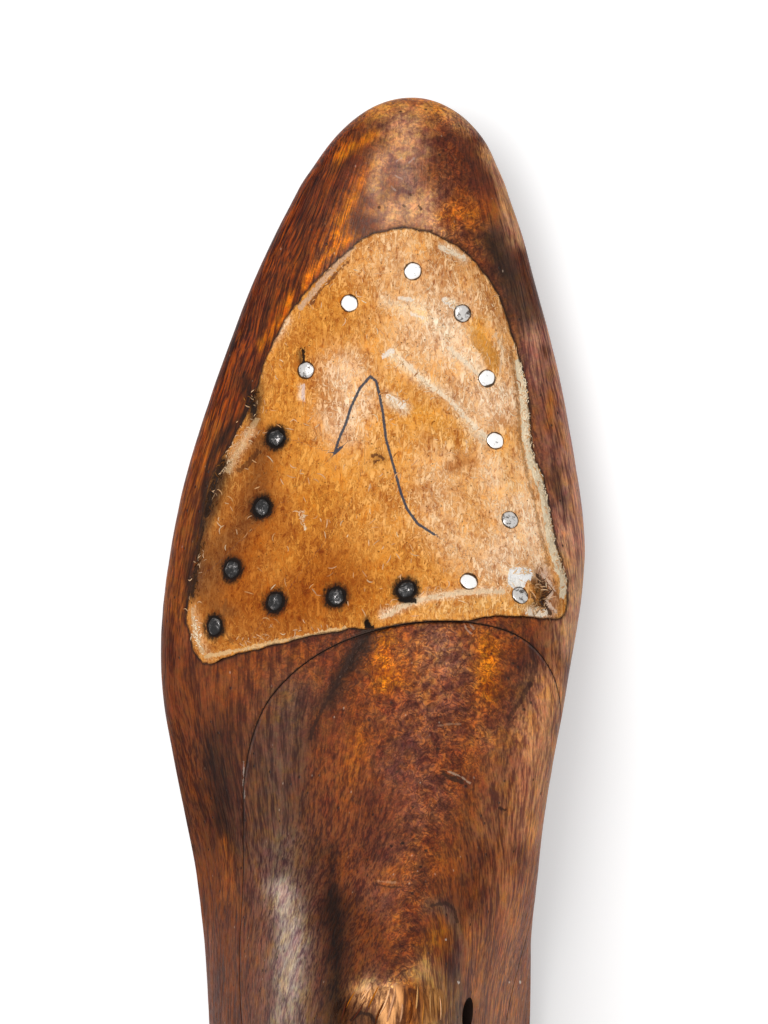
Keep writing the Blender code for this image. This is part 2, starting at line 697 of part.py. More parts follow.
def make_thimble():
    """The steel tube that lines the jack-pin hole."""
    at, bottom, top = thimble_span()
    outer = THIMBLE_BORE / 2 + THIMBLE_WALL
    mesh = cylinder_mesh("jack_thimble", outer, THIMBLE_LENGTH, THIMBLE_FACETS)
    thimble = add_piece("jack_thimble", mesh, THIMBLE_STEEL)
    thimble.location = place(THIMBLE_X, at, (bottom + top) / 2)
    bore = post_cutter(
        "thimble_bore", THIMBLE_X, at, bottom - CUT_CLEARANCE, top + CUT_CLEARANCE, THIMBLE_BORE,
        THIMBLE_FACETS,
    )
    combine(thimble, bore, "DIFFERENCE")
    return thimble


def thimble_hole_cutter():
    at, bottom, top = thimble_span()
    return post_cutter(
        "thimble_hole", THIMBLE_X, at, bottom - FIT_GAP, top + THIMBLE_SUNK + CUT_CLEARANCE,
        THIMBLE_BORE + 2 * (THIMBLE_WALL + FIT_GAP), THIMBLE_FACETS,
    )


def tack_profile(head_diameter, grown):
    """A tack turned about its axis. Grown by the fit gap, it is the hole that the tack needs."""
    head = head_diameter / 2 + grown
    shank = TACK_SHANK_DIAMETER / 2 + grown
    point = TACK_POINT_DIAMETER / 2 + grown
    under = -TACK_HEAD_THICKNESS - grown
    if grown:
        crown = [(0, LEATHER_THICKNESS), (head, LEATHER_THICKNESS)]
    else:
        shoulder = (head * TACK_DOME_SHOULDER, TACK_HEAD_DOME * TACK_DOME_SHOULDER_HEIGHT)
        crown = [(0, TACK_HEAD_DOME), shoulder, (head, 0)]
    tip = -TACK_LENGTH - grown
    return crown + [(head, under), (shank, under), (point, tip), (0, tip)]


def tack_matrix(x, ahead):
    """Where a tack sits: on the leather's surface, along its normal."""
    s = scoop_front() - ahead
    normal = top_normal(x, s)
    seat = place(x, s, top_height(x, s)) + normal * (LEATHER_TOPSIDE + TACK_HEAD_PROUD) * MM
    turn = normal.to_track_quat("Z", "Y").to_matrix().to_4x4()
    return Matrix.Translation(seat) @ turn


def make_tack(name, x, ahead, head_diameter, finish):
    mesh = turned_mesh(name, tack_profile(head_diameter, 0), TACK_FACETS)
    tack = add_piece(name, mesh, finish)
    tack.matrix_world = tack_matrix(x, ahead)
    return tack


def tack_holes_cutter():
    """All the tacks' holes as one cutter."""
    edit = bmesh.new()
    groups = ((BRIGHT_TACKS, BRIGHT_HEAD_DIAMETER), (RUSTED_TACKS, RUSTED_HEAD_DIAMETER))
    for tacks, diameter in groups:
        for name, x, ahead in tacks:
            hole = turned_mesh(name + "_hole", tack_profile(diameter, FIT_GAP), TACK_FACETS)
            hole.transform(tack_matrix(x, ahead))
            edit.from_mesh(hole)
            bpy.data.meshes.remove(hole)
    mesh = bpy.data.meshes.new("tack_holes")
    edit.to_mesh(mesh)
    edit.free()
    return add_cutter("tack_holes", mesh)


def make_body(cone_top, holes):
    """The body: the last without the scooped-out block."""
    body = add_piece("last_body", last_mesh("last_body", 0), BODY_WOOD)
    combine(body, cone_top, "DIFFERENCE")
    combine(body, scoop_cutter("scoop_for_body", FIT_GAP / 2), "DIFFERENCE")
    for hole in holes:
        combine(body, hole, "DIFFERENCE")
    return body


def make_block(cone_top, holes):
    """The instep block: what the scoop cuts out of the last."""
    block = add_piece("instep_block", last_mesh("instep_block", 0), BLOCK_WOOD)
    combine(block, cone_top, "DIFFERENCE")
    combine(block, scoop_cutter("scoop_for_block", -FIT_GAP / 2), "INTERSECT")
    for hole in holes:
        combine(block, hole, "DIFFERENCE")
    return block


def make_leather(tack_holes):
    """The leather build-up: a shell of even thickness lying on the forepart."""
    mesh = last_mesh("leather_buildup", LEATHER_TOPSIDE)
    leather = add_piece("leather_buildup", mesh, LEATHER)
    lowest = value_at(LATERAL_WIDE_Z, scoop_front())
    prism = prism_mesh("leather_outline", leather_outline(), lowest, CONE_TOP_Z)
    combine(leather, add_cutter("leather_outline", prism), "INTERSECT")
    under = add_cutter("leather_underside", last_mesh("leather_underside", LEATHER_UNDERSIDE))
    combine(leather, under, "DIFFERENCE")
    combine(leather, tack_holes, "DIFFERENCE")
    return leather


def smooth_shading():
    for obj in collection_of(COLLECTION).objects:
        obj.data.shade_smooth()
        obj.data.set_sharp_from_angle(angle=SHARP_ANGLE)


def main():
    clear()
    cone_top = cone_top_cutter()
    tack_holes = tack_holes_cutter()
    pin_hole = pin_hole_cutter()
    screw_hole = screw_hole_cutter()
    make_body(cone_top, (tack_holes, pin_hole, screw_hole, thimble_hole_cutter()))
    make_block(cone_top, (pin_hole, screw_hole, hook_hole_cutter()))
    make_leather(tack_holes)
    for name, x, ahead in BRIGHT_TACKS:
        make_tack(name, x, ahead, BRIGHT_HEAD_DIAMETER, BRIGHT_STEEL)
    for name, x, ahead in RUSTED_TACKS:
        make_tack(name, x, ahead, RUSTED_HEAD_DIAMETER, RUSTED_IRON)
    make_screw()
    make_pin()
    make_thimble()
    smooth_shading()


main()
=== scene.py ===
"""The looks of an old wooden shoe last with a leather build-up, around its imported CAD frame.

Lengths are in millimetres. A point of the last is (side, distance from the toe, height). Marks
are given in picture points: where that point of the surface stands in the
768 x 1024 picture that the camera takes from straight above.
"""

import math

import bmesh
import bpy
import numpy as np
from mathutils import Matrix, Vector


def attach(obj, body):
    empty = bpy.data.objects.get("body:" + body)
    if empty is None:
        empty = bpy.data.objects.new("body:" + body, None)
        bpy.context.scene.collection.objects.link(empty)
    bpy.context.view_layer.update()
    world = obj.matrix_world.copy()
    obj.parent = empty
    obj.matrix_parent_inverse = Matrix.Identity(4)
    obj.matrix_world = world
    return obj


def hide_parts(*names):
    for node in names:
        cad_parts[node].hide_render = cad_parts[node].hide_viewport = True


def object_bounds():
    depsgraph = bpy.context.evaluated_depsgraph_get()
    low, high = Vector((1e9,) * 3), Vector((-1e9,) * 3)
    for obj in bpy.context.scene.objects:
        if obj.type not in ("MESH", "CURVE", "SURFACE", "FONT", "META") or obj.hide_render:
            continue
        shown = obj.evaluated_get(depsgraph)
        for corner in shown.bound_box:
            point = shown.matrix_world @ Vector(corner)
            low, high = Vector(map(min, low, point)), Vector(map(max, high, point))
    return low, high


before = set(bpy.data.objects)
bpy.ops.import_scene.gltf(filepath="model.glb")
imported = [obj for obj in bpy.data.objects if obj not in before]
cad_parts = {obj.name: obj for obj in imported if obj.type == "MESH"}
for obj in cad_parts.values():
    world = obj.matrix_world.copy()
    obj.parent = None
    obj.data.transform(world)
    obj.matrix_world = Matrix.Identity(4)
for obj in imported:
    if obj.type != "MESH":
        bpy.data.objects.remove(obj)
CAD_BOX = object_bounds()

MM = 0.001
LENGTH = 290.0

# The last's shape, as the CAD source has it
SOLE_Z = (
    (0, 18.5), (10, 16.0), (20, 13.3), (35, 9.3), (50, 6.0), (65, 3.4), (80, 1.5), (95, 0.35),
    (108, 0.0), (120, 0.5), (135, 2.2), (150, 4.6), (175, 7.6), (200, 9.0), (215, 8.9),
    (228, 8.0), (250, 4.4), (272, 1.4), (283, 0.0), (290, -0.9),
)
LATERAL_FEATHER_RISE = ((0, 1.0), (60, 1.2), (108, 1.3), (160, 2.0), (215, 1.4), (290, 0.8))
MEDIAL_FEATHER_RISE = ((0, 1.0), (60, 1.2), (108, 1.4), (160, 3.6), (215, 1.6), (290, 0.8))
LATERAL_FEATHER_X = (
    (0, -9.0), (10, -9.5), (20, -13.0), (30, -18.3), (40, -22.8), (53, -27.8), (66, -32.5),
    (80, -36.7), (93, -39.6), (106, -41.3), (120, -41.6), (133, -39.5), (146, -36.0),
    (160, -33.0), (175, -30.5), (190, -29.0), (205, -28.5), (220, -28.8), (240, -29.0),
    (260, -28.6), (290, -28.0),
)
MEDIAL_FEATHER_X = (
    (0, 25.5), (10, 25.4), (20, 27.0), (30, 30.0), (40, 32.3), (53, 35.6), (66, 38.4),
    (80, 40.5), (93, 41.8), (100, 41.6), (106, 40.6), (113, 38.5), (120, 35.5), (130, 30.5),
    (140, 26.0), (150, 22.5), (160, 20.3), (172, 19.5), (185, 20.3), (200, 23.0), (215, 26.0),
    (230, 28.0), (245, 28.8), (260, 28.6), (290, 28.0),
)
LATERAL_WIDE_X = (
    (0, -10.2), (5, -11.0), (10, -12.0), (15, -13.6), (20, -16.2), (30, -21.5), (40, -26.2),
    (53, -31.3), (66.5, -36.2), (80, -40.5), (93, -43.6), (106, -45.8), (116, -46.8),
    (124, -47.0), (133, -46.4), (146, -44.1), (160, -41.4), (170, -39.5), (180, -38.2),
    (190, -37.2), (205, -36.2), (220, -35.0), (245, -33.0), (265, -32.4), (290, -32.0),
)
LATERAL_WIDE_Z = (
    (0, 24.0), (20, 21.0), (50, 16.5), (80, 15.0), (105, 14.0), (125, 14.3), (150, 15.0),
    (161, 13.6), (175, 12.2), (190, 12.6), (204, 15.0), (225, 19.5), (245, 22.0), (290, 20.0),
)
MEDIAL_WIDE_X = (
    (0, 27.0), (5, 27.4), (10, 27.9), (15, 28.4), (20, 29.9), (30, 33.4), (40, 36.1),
    (53, 39.7), (66.5, 42.8), (80, 45.2), (93, 47.0), (100, 47.3), (106, 46.9), (113, 46.0),
    (120, 44.7), (132, 42.3), (145, 39.6), (158, 37.5), (171, 36.2), (184, 35.2), (198, 35.3),
    (215, 34.8), (245, 32.6), (265, 32.2), (290, 32.0),
)
MEDIAL_WIDE_Z = (
    (0, 24.0), (20, 21.5), (50, 18.0), (80, 17.5), (100, 19.0), (112, 22.0), (120, 25.0),
    (130, 31.0), (138, 35.5), (146, 37.5), (158, 37.5), (167, 35.5), (178, 30.5), (190, 23.5),
    (204, 18.5), (225, 19.5), (245, 22.0), (290, 20.0),
)
RIDGE_X = (
    (0, 8.8), (20, 8.8), (40, 9.5), (60, 11.0), (80, 13.0), (100, 15.2), (115, 16.0),
    (130, 15.0), (145, 13.2), (160, 11.0), (175, 8.5), (190, 6.2), (205, 5.0), (230, 4.5),
    (260, 2.5), (290, 0.5),
)
RIDGE_Z = (
    (0, 33.5), (8, 35.5), (16, 36.0), (25, 36.0), (38, 35.3), (50, 35.0), (65, 36.0),
    (80, 38.6), (92, 41.8), (105, 46.3), (115, 50.6), (125, 54.8), (135, 59.7), (150, 68.4),
    (160, 75.2), (170, 82.6), (180, 90.2), (187, 95.4), (195, 101.2), (206, 108.0),
    (225, 114.0), (250, 116.0), (290, 114.0),
)
LATERAL_WALL_ROUNDNESS = (
    (0, 0.55), (50, 0.5), (80, 0.45), (105, 0.38), (122, 0.34), (131, 0.28), (141, 0.18),
    (150, 0.1), (161, 0.03), (175, 0.0), (185, 0.02), (204, 0.06), (240, 0.18), (265, 0.28),
    (290, 0.5),
)
LATERAL_RIDGE_ROUNDNESS = (
    (0, 0.6), (60, 0.55), (100, 0.5), (115, 0.42), (122, 0.34), (141, 0.2), (161, 0.2),
    (180, 0.3), (195, 0.32), (215, 0.2), (240, 0.15), (265, 0.22), (290, 0.6),
)
MEDIAL_WALL_ROUNDNESS = (
    (0, 0.55), (60, 0.55), (100, 0.56), (118, 0.6), (124, 0.57), (134, 0.53), (145, 0.45),
    (160, 0.35), (172, 0.27), (185, 0.14), (195, 0.03), (204, 0.0), (220, 0.12), (240, 0.2),
    (265, 0.28), (290, 0.5),
)
MEDIAL_RIDGE_ROUNDNESS = (
    (0, 0.6), (60, 0.55), (100, 0.56), (118, 0.6), (124, 0.57), (134, 0.5), (150, 0.35),
    (165, 0.28), (180, 0.32), (195, 0.26), (215, 0.2), (240, 0.15), (265, 0.22), (290, 0.6),
)
TOE_END = (8.8, 24.0)
HEEL_END = (0.0, 20.0)
TOE_ROUND_PLAN = 20.0
TOE_ROUND_SIDE = 12.0
HEEL_ROUND_PLAN = 30.0
HEEL_ROUND_BACK = 35.0
HEEL_ROUND_SEAT = 7.0
CONE_TOP_AT = 200.0
CONE_TOP_Z = 94.0
CONE_TOP_FALL = 0.125
SCOOP_FRONT = 0.395 * LENGTH
SCOOP_REAR = 0.845 * LENGTH
SCOOP_DEPTH = 34.0
LEATHER_TOPSIDE = 2.3

# The seam as wide as it looks, the leather's usual height, and how deep a tack's head sits in it
SEAM_GAP = 0.16
LEATHER_FULL = 2.0
TACK_SINK = 0.35

# Fineness of the dressed surfaces
STATION_STEP = 0.8
SOLE_STEPS = 56
LOWER_SIDE_STEPS = 12
UPPER_SIDE_STEPS = 84
SCOOP_FACETS = 360
HOLE_FACETS = 48
TACK_FACETS = 40
PIN_FACETS = 40
SCREW_FACETS = 48
THIMBLE_FACETS = 72
LEATHER_STEP = 0.45
CONE_EDGE_ROUNDING = 0.28
CONE_FRONT_ROUNDING = 1.1
CUT_STEP = 1.3

# Camera: straight above the front part of the last
CAMERA_SIDE = 2.75
CAMERA_FROM_TOE = 91.3
CAMERA_HEIGHT = 900.0
CAMERA_LENS = 139.97
PICTURE_SCALE = 3981.25
PICTURE_CENTRE = (384.0, 512.0)

# Leather build-up: edges through (side, distance ahead of the scoop) points
LEATHER_EDGE = (
    (2.1, 84.6), (10.0, 85), (20.0, 80.5), (27.7, 71.3), (32.0, 58.9), (34.6, 47.7),
    (35.3, 37.5), (38.0, 30), (39.9, 19.5), (41.8, 11.5), (43.0, 7), (41.2, 0.3),
    (31.5, 0.6), (19.0, 1), (9.5, 0.4), (-0.4, -1.4), (-14.5, -4.3), (-29.0, -8.1),
    (-36.2, -10.3), (-39.3, -7.1), (-40.9, 0.5), (-39.4, 10), (-37.6, 20.1), (-35.8, 30.7),
    (-31.1, 38.7), (-26.7, 47.3), (-22.5, 59.3), (-16.5, 69.2), (-9.0, 77.1), (-2.1, 82.7),
)

# Tacks, as name: (side, distance ahead of the scoop, head diameter, finish)
TACKS = {
    "tack_toe": (9.0, 75.5, 3.6, "bright"),
    "tack_toe_lateral": (-4.4, 68.6, 3.6, "bright"),
    "tack_toe_medial": (19.4, 66.3, 3.6, "grey"),
    "tack_medial_1": (24.6, 52.0, 3.6, "bright"),
    "tack_medial_2": (26.3, 38.3, 3.6, "bright"),
    "tack_medial_3": (29.3, 21.0, 3.6, "grey"),
    "tack_rear_4": (20.7, 7.7, 3.6, "bright"),
    "tack_rear_5": (31.2, 4.7, 3.6, "grey"),
    "tack_lateral_1": (-13.7, 53.9, 3.6, "grey"),
    "tack_lateral_2": (-20.1, 39.1, 4.2, "rusted"),
    "tack_lateral_3": (-23.0, 23.9, 4.2, "rusted"),
    "tack_lateral_4": (-29.3, 10.5, 4.2, "rusted"),
    "tack_lateral_5": (-33.0, -1.7, 4.2, "rusted"),
    "tack_rear_1": (-19.9, 3.4, 4.2, "rusted"),
    "tack_rear_2": (-7.0, 4.5, 4.2, "rusted"),
    "tack_rear_3": (7.7, 5.9, 4.2, "rusted"),
}


def colour(code):
    """A colour written as six hexadecimal digits, as the shader wants it."""
    parts = [int(code[i:i + 2], 16) / 255 for i in (0, 2, 4)]
    return np.array([c / 12.92 if c <= 0.04045 else ((c + 0.055) / 1.055) ** 2.4 for c in parts])


def along(table, s):
    """A table's value at distances s from the toe, on a smooth curve through its pairs."""
    at, value = np.array(table, float).T
    slope = np.gradient(value, at)
    s = np.asarray(s, float)
    i = np.clip(np.searchsorted(at, s, side="right") - 1, 0, len(at) - 2)
    step = at[i + 1] - at[i]
    t = (s - at[i]) / step
    start = (1 + 2 * t) * (1 - t) ** 2 * value[i] + t * (1 - t) ** 2 * step * slope[i]
    end = t * t * (3 - 2 * t) * value[i + 1] + t * t * (t - 1) * step * slope[i + 1]
    return start + end


def closing(distance, length, power):
    """How much of a section is left at this distance from an end rounded over a length."""
    return (1 - np.clip(1 - distance / length, 0, 1) ** 2) ** power


def shrunk(x, z, s):
    """A section's corner, drawn in towards the toe end or the heel end."""
    toe = s < LENGTH / 2
    back = LENGTH - s
    plan = np.where(toe, closing(s, TOE_ROUND_PLAN, 0.5), closing(back, HEEL_ROUND_PLAN, 0.5))
    top = np.where(toe, closing(s, TOE_ROUND_SIDE, 0.45), closing(back, HEEL_ROUND_BACK, 0.65))
    sole = np.where(toe, closing(s, TOE_ROUND_SIDE, 0.25), closing(back, HEEL_ROUND_SEAT, 0.3))
    end_x = np.where(toe, TOE_END[0], HEEL_END[0])
    end_z = np.where(toe, TOE_END[1], HEEL_END[1])
    tall = np.where(z > end_z, top, sole)
    return np.stack([end_x + (x - end_x) * plan, end_z + (z - end_z) * tall], axis=-1)


def corners(s):
    """The sole's middle, both feather edges, both widest points and the ridge at s."""
    sole = along(SOLE_Z, s)
    left, right = along(LATERAL_FEATHER_X, s), along(MEDIAL_FEATHER_X, s)
    pairs = (
        ((left + right) / 2, sole),
        (left, sole + along(LATERAL_FEATHER_RISE, s)),
        (right, sole + along(MEDIAL_FEATHER_RISE, s)),
        (along(LATERAL_WIDE_X, s), along(LATERAL_WIDE_Z, s)),
        (along(MEDIAL_WIDE_X, s), along(MEDIAL_WIDE_Z, s)),
        (along(RIDGE_X, s), along(RIDGE_Z, s)),
    )
    return [shrunk(x, z, s) for x, z in pairs]


def upper_side(wide, ridge, wall, crest, steps):
    """From the widest points up over the side to the ridge."""
    t = np.linspace(0, 1, steps + 1)[None, :, None]
    rise = wall * (ridge[:, 1] - wide[:, 1])
    reach = crest * (wide[:, 0] - ridge[:, 0])
    above = wide + np.stack([np.zeros_like(rise), rise], axis=1)
    beside = ridge + np.stack([reach, np.zeros_like(reach)], axis=1)
    wide, above, beside, ridge = (p[:, None, :] for p in (wide, above, beside, ridge))
    return ((1 - t) ** 3 * wide + 3 * t * (1 - t) ** 2 * above
            + 3 * t * t * (1 - t) * beside + t**3 * ridge)


def upper_sides(s, steps):
    """The lateral and the medial side, each as points (station, step, side or height)."""
    *_, wide_l, wide_m, ridge = corners(s)
    sides = ((wide_l, LATERAL_WALL_ROUNDNESS, LATERAL_RIDGE_ROUNDNESS),
             (wide_m, MEDIAL_WALL_ROUNDNESS, MEDIAL_RIDGE_ROUNDNESS))
    return [upper_side(wide, ridge, along(wall, s), along(crest, s), steps)
            for wide, wall, crest in sides]


def lower_side(feather, wide):
    """From the feather edges out and up to the widest points."""
    t = np.linspace(0, 1, LOWER_SIDE_STEPS + 1)[None, :, None]
    bend = np.stack([wide[:, 0], feather[:, 1] + 0.35 * (wide[:, 1] - feather[:, 1])], axis=1)
    feather, bend, wide = (p[:, None, :] for p in (feather, bend, wide))
    return (1 - t) ** 2 * feather + 2 * t * (1 - t) * bend + t * t * wide


def sole_line(middle, feather_l, feather_m):
    """The sole across the foot: flat in the middle and lifting to both feather edges."""
    t = np.linspace(-1, 1, SOLE_STEPS + 1)[None, :]
    x = feather_l[:, :1] + (feather_m[:, :1] - feather_l[:, :1]) * (t + 1) / 2
    edge = np.where(t < 0, feather_l[:, 1:], feather_m[:, 1:])
    z = middle[:, 1:] + (edge - middle[:, 1:]) * np.abs(t) ** 3
    return np.stack([x, z], axis=-1)


def cone_top_height(s):
    """The height of the plane that the top of the cone was sawn to."""
    return CONE_TOP_Z - CONE_TOP_FALL * (s - CONE_TOP_AT)


def scoop_circle():
    """The scoop's radius and its axis, as (distance from the toe, height)."""
    front = np.array([SCOOP_FRONT, along(RIDGE_Z, SCOOP_FRONT)])
    rear = np.array([SCOOP_REAR, cone_top_height(SCOOP_REAR)])
    chord = rear - front
    length = np.hypot(*chord)
    upward = np.array([-chord[1], chord[0]]) / length
    radius = ((length / 2) ** 2 + SCOOP_DEPTH**2) / (2 * SCOOP_DEPTH)
    return radius, (front + rear) / 2 + upward * (radius - SCOOP_DEPTH)


SCOOP_RADIUS, SCOOP_AXIS = scoop_circle()


def off_scoop(s, z):
    """How far outside the scoop's cylinder points lie."""
    return np.hypot(s - SCOOP_AXIS[0], z - SCOOP_AXIS[1]) - SCOOP_RADIUS


def lattice_noise(points, size, seed):
    """Smooth noise from -1 to 1 with lumps of about this size."""
    table = np.random.default_rng(seed).uniform(-1, 1, (31, 31, 31))
    at = np.asarray(points, float) / size + 1000
    low = np.floor(at).astype(int)
    t = at - low
    t = t * t * (3 - 2 * t)
    total = 0
    for corner in range(8):
        step = np.array([corner & 1, corner >> 1 & 1, corner >> 2 & 1])
        weight = np.where(step, t, 1 - t).prod(axis=-1)
        i, j, k = np.moveaxis((low + step) % 31, -1, 0)
        total = total + weight * table[i, j, k]
    return total


def layered_noise(points, size, seed, layers=3):
    """Noise with finer lumps on the coarse ones."""
    parts = [lattice_noise(points, size / 2**i, seed + i) / 2**i for i in range(layers)]
    return sum(parts) / sum(0.5**i for i in range(layers))


def smooth(value, low, high):
    """From 0 at low to 1 at high, without corners."""
    t = np.clip((value - low) / (high - low), 0, 1)
    return t * t * (3 - 2 * t)


def picture_point(points):
    """Where points (x, y, z) stand in the picture taken from above."""
    scale = PICTURE_SCALE / (CAMERA_HEIGHT - points[..., 2])
    u = PICTURE_CENTRE[0] + (points[..., 0] - CAMERA_SIDE) * scale
    v = PICTURE_CENTRE[1] + (LENGTH / 2 - points[..., 1] - CAMERA_FROM_TOE) * scale
    return np.stack([u, v], axis=-1)


def path_distance(points, path):
    """The distance of 2-D points from a path of points, signed by its side."""
    path = np.asarray(path, float)
    best = np.full(len(points), 1e9)
    signed = np.zeros(len(points))
    for a, b in zip(path[:-1], path[1:]):
        way = b - a
        t = np.clip(((points - a) @ way) / np.hypot(*way) ** 2, 0, 1)
        off = points - (a + t[:, None] * way)
        distance = np.hypot(*off.T)
        side = np.sign(way[0] * off[:, 1] - way[1] * off[:, 0])
        nearer = distance < best
        best = np.where(nearer, distance, best)
        signed = np.where(nearer, distance * side, signed)
    return signed


def smooth_loop(points, steps):
    """A closed smooth curve through the points."""
    points = np.asarray(points, float)
    before, after = np.roll(points, 1, 0), np.roll(points, -1, 0)
    ahead = np.roll(points, -2, 0)
    t = (np.arange(steps) / steps)[None, :, None]
    a, b, c, d = (p[:, None, :] for p in (before, points, after, ahead))
    curve = 0.5 * (2 * b + (c - a) * t + (2 * a - 5 * b + 4 * c - d) * t**2
                   + (3 * b - a - 3 * c + d) * t**3)
    return curve.reshape(-1, 2)


def inside(points, loop):
    """Whether 2-D points lie inside a closed loop."""
    found = np.zeros(len(points), bool)
    for a, b in zip(loop, np.roll(loop, -1, 0)):
        crossing = (a[1] > points[:, 1]) != (b[1] > points[:, 1])
        if a[1] != b[1]:
            x = a[0] + (points[:, 1] - a[1]) / (b[1] - a[1]) * (b[0] - a[0])
            found ^= crossing & (points[:, 0] < x)
    return found


def mesh_from(name, points, faces):
    """A mesh of points in millimetres."""
    mesh = bpy.data.meshes.new(name)
    mesh.from_pydata([tuple(p) for p in np.asarray(points) * MM], [], faces)
    mesh.update()
    return mesh


def add_object(name, mesh):
    """A new object in the scene."""
    obj = bpy.data.objects.new(name, mesh)
    bpy.context.scene.collection.objects.link(obj)
    return obj


def vertices_of(mesh):
    """A mesh's points in millimetres."""
    flat = np.zeros(len(mesh.vertices) * 3)
    mesh.vertices.foreach_get("co", flat)
    return flat.reshape(-1, 3) / MM


def normals_of(mesh):
    """A mesh's normals at its points."""
    flat = np.zeros(len(mesh.vertices) * 3)
    mesh.vertices.foreach_get("normal", flat)
    return flat.reshape(-1, 3)


def move_vertices(mesh, points):
    """Put a mesh's points at new places, in millimetres."""
    mesh.vertices.foreach_set("co", (points * MM).ravel())
    mesh.update()


def put_value(mesh, name, values):
    """Give each point of a mesh a number for its shader."""
    layer = mesh.attributes.new(name, "FLOAT", "POINT")
    layer.data.foreach_set("value", np.asarray(values, np.float32))


def put_colour(mesh, name, values):
    """Give each point of a mesh a colour for its shader."""
    layer = mesh.attributes.new(name, "FLOAT_COLOR", "POINT")
    rgba = np.concatenate([values, np.ones((len(values), 1))], axis=1)
    layer.data.foreach_set("color", rgba.astype(np.float32).ravel())


def cut(obj, cutters, operation="DIFFERENCE"):
    """Apply Booleans with these cutters, which are then removed."""
    for cutter in cutters:
        modifier = obj.modifiers.new(cutter.name, "BOOLEAN")
        modifier.operation = operation
        modifier.solver = "MANIFOLD"
        modifier.object = cutter
    graph = bpy.context.evaluated_depsgraph_get()
    made = bpy.data.meshes.new_from_object(obj.evaluated_get(graph))
    obj.modifiers.clear()
    obj.data = made
    for cutter in cutters:
        bpy.data.objects.remove(cutter)


def grid_faces(rows, columns, closed):
    """Quads of a grid of points; a closed grid's columns run all the way round."""
    r, c = np.meshgrid(np.arange(rows - 1), np.arange(columns - (not closed)), indexing="ij")
    near, far = r * columns, (r + 1) * columns
    d = (c + 1) % columns
    return np.stack([near + c, far + c, far + d, near + d], axis=-1).reshape(-1, 4).tolist()


def stations():
    """Distances from the toe, closer together at both ends."""
    turn = np.linspace(0, math.pi / 2, 34)
    toe = TOE_ROUND_PLAN * (1 - np.cos(turn))[1:]
    heel = LENGTH - HEEL_ROUND_PLAN * (1 - np.cos(turn))[1:][::-1]
    middle = np.arange(toe[-1] + STATION_STEP, heel[0] - STATION_STEP / 2, STATION_STEP)
    return np.concatenate([toe, middle, heel])


def cone_top_texture(x, s):
    """How far the sawn cone top lies below its plane: fibrous all over, splintered in front."""
    points = np.stack([x, s * 0.12, np.zeros_like(x)], axis=-1)
    fibres = layered_noise(points, 1.1, 41)
    torn = smooth(layered_noise(np.stack([x * 0.5, s * 0.12, x * 0], axis=-1), 1.6, 47), -0.4, 0.6)
    front = 1 - smooth(s, 190, 212)
    return (0.10 + 0.75 * front) * (0.5 + 0.5 * fibres) * (0.35 + 0.65 * torn)


def sawn_off(z, top, s):
    """Heights cut off at the cone's top, with a rounded rim that is more worn in front."""
    rounding = CONE_EDGE_ROUNDING + CONE_FRONT_ROUNDING * (1 - smooth(s, 188, 214))
    return z - rounding * np.logaddexp(0, (z - top) / rounding)


def last_mesh(name):
    """The whole last, with its flat cone top, worn a little all over."""
    s = stations()
    middle, feather_l, feather_m, wide_l, wide_m, _ = corners(s)
    lateral, medial = upper_sides(s, UPPER_SIDE_STEPS)
    ring = np.concatenate([
        sole_line(middle, feather_l, feather_m)[:, :-1],
        lower_side(feather_m, wide_m)[:, :-1],
        medial[:, :-1],
        lateral[:, ::-1][:, :-1],
        lower_side(feather_l, wide_l)[:, ::-1][:, :-1],
    ], axis=1)
    x, z = ring[..., 0], ring[..., 1]
    far = np.broadcast_to(s[:, None], x.shape)
    top = cone_top_height(far) - cone_top_texture(x, far)
    grid = np.stack([x, LENGTH / 2 - far, sawn_off(z, top, far)], axis=-1)
    count, around = grid.shape[:2]
    points = grid.reshape(-1, 3).tolist()
    points.append((TOE_END[0], LENGTH / 2, TOE_END[1]))
    points.append((HEEL_END[0], -LENGTH / 2, HEEL_END[1]))
    toe, heel = len(points) - 2, len(points) - 1
    last = (count - 1) * around
    faces = grid_faces(count, around, True)
    faces += [(toe, i, (i + 1) % around) for i in range(around)]
    faces += [(heel, last + (i + 1) % around, last + i) for i in range(around)]
    mesh = mesh_from(name, points, faces)
    turn_outward(mesh)
    at = vertices_of(mesh)
    wear = 0.10 * (1 + layered_noise(at, 14.0, 3)) + 0.03 * (1 + lattice_noise(at, 3.0, 9))
    move_vertices(mesh, at - normals_of(mesh) * wear[:, None])
    return mesh


def prism(name, loop, low, high):
    """A closed upright prism on a loop of (x, y) points."""
    n = len(loop)
    points = [(x, y, z) for z in (low, high) for x, y in loop]
    faces = [(i, (i + 1) % n, n + (i + 1) % n, n + i) for i in range(n)]
    faces += [tuple(range(n))[::-1], tuple(range(n, 2 * n))]
    return add_object(name, mesh_from(name, points, faces))


def cylinder(name, radius, low, high):
    """A closed upright cylinder."""
    turn = np.linspace(0, 2 * math.pi, HOLE_FACETS, endpoint=False)
    circle = np.stack([radius * np.cos(turn), radius * np.sin(turn)], axis=1)
    return prism(name, circle, low, high)


def tube_faces(rows, around):
    """Quads round a tube of rings, and a flat face at both ends."""
    last = (rows - 1) * around
    ends = [tuple(range(around)), tuple(range(last, last + around))]
    return grid_faces(rows, around, True) + ends


def placed(obj, x, s, z):
    """Move an object to a side, a distance from the toe and a height."""
    obj.location = Vector((x, LENGTH / 2 - s, z)) * MM
    return obj


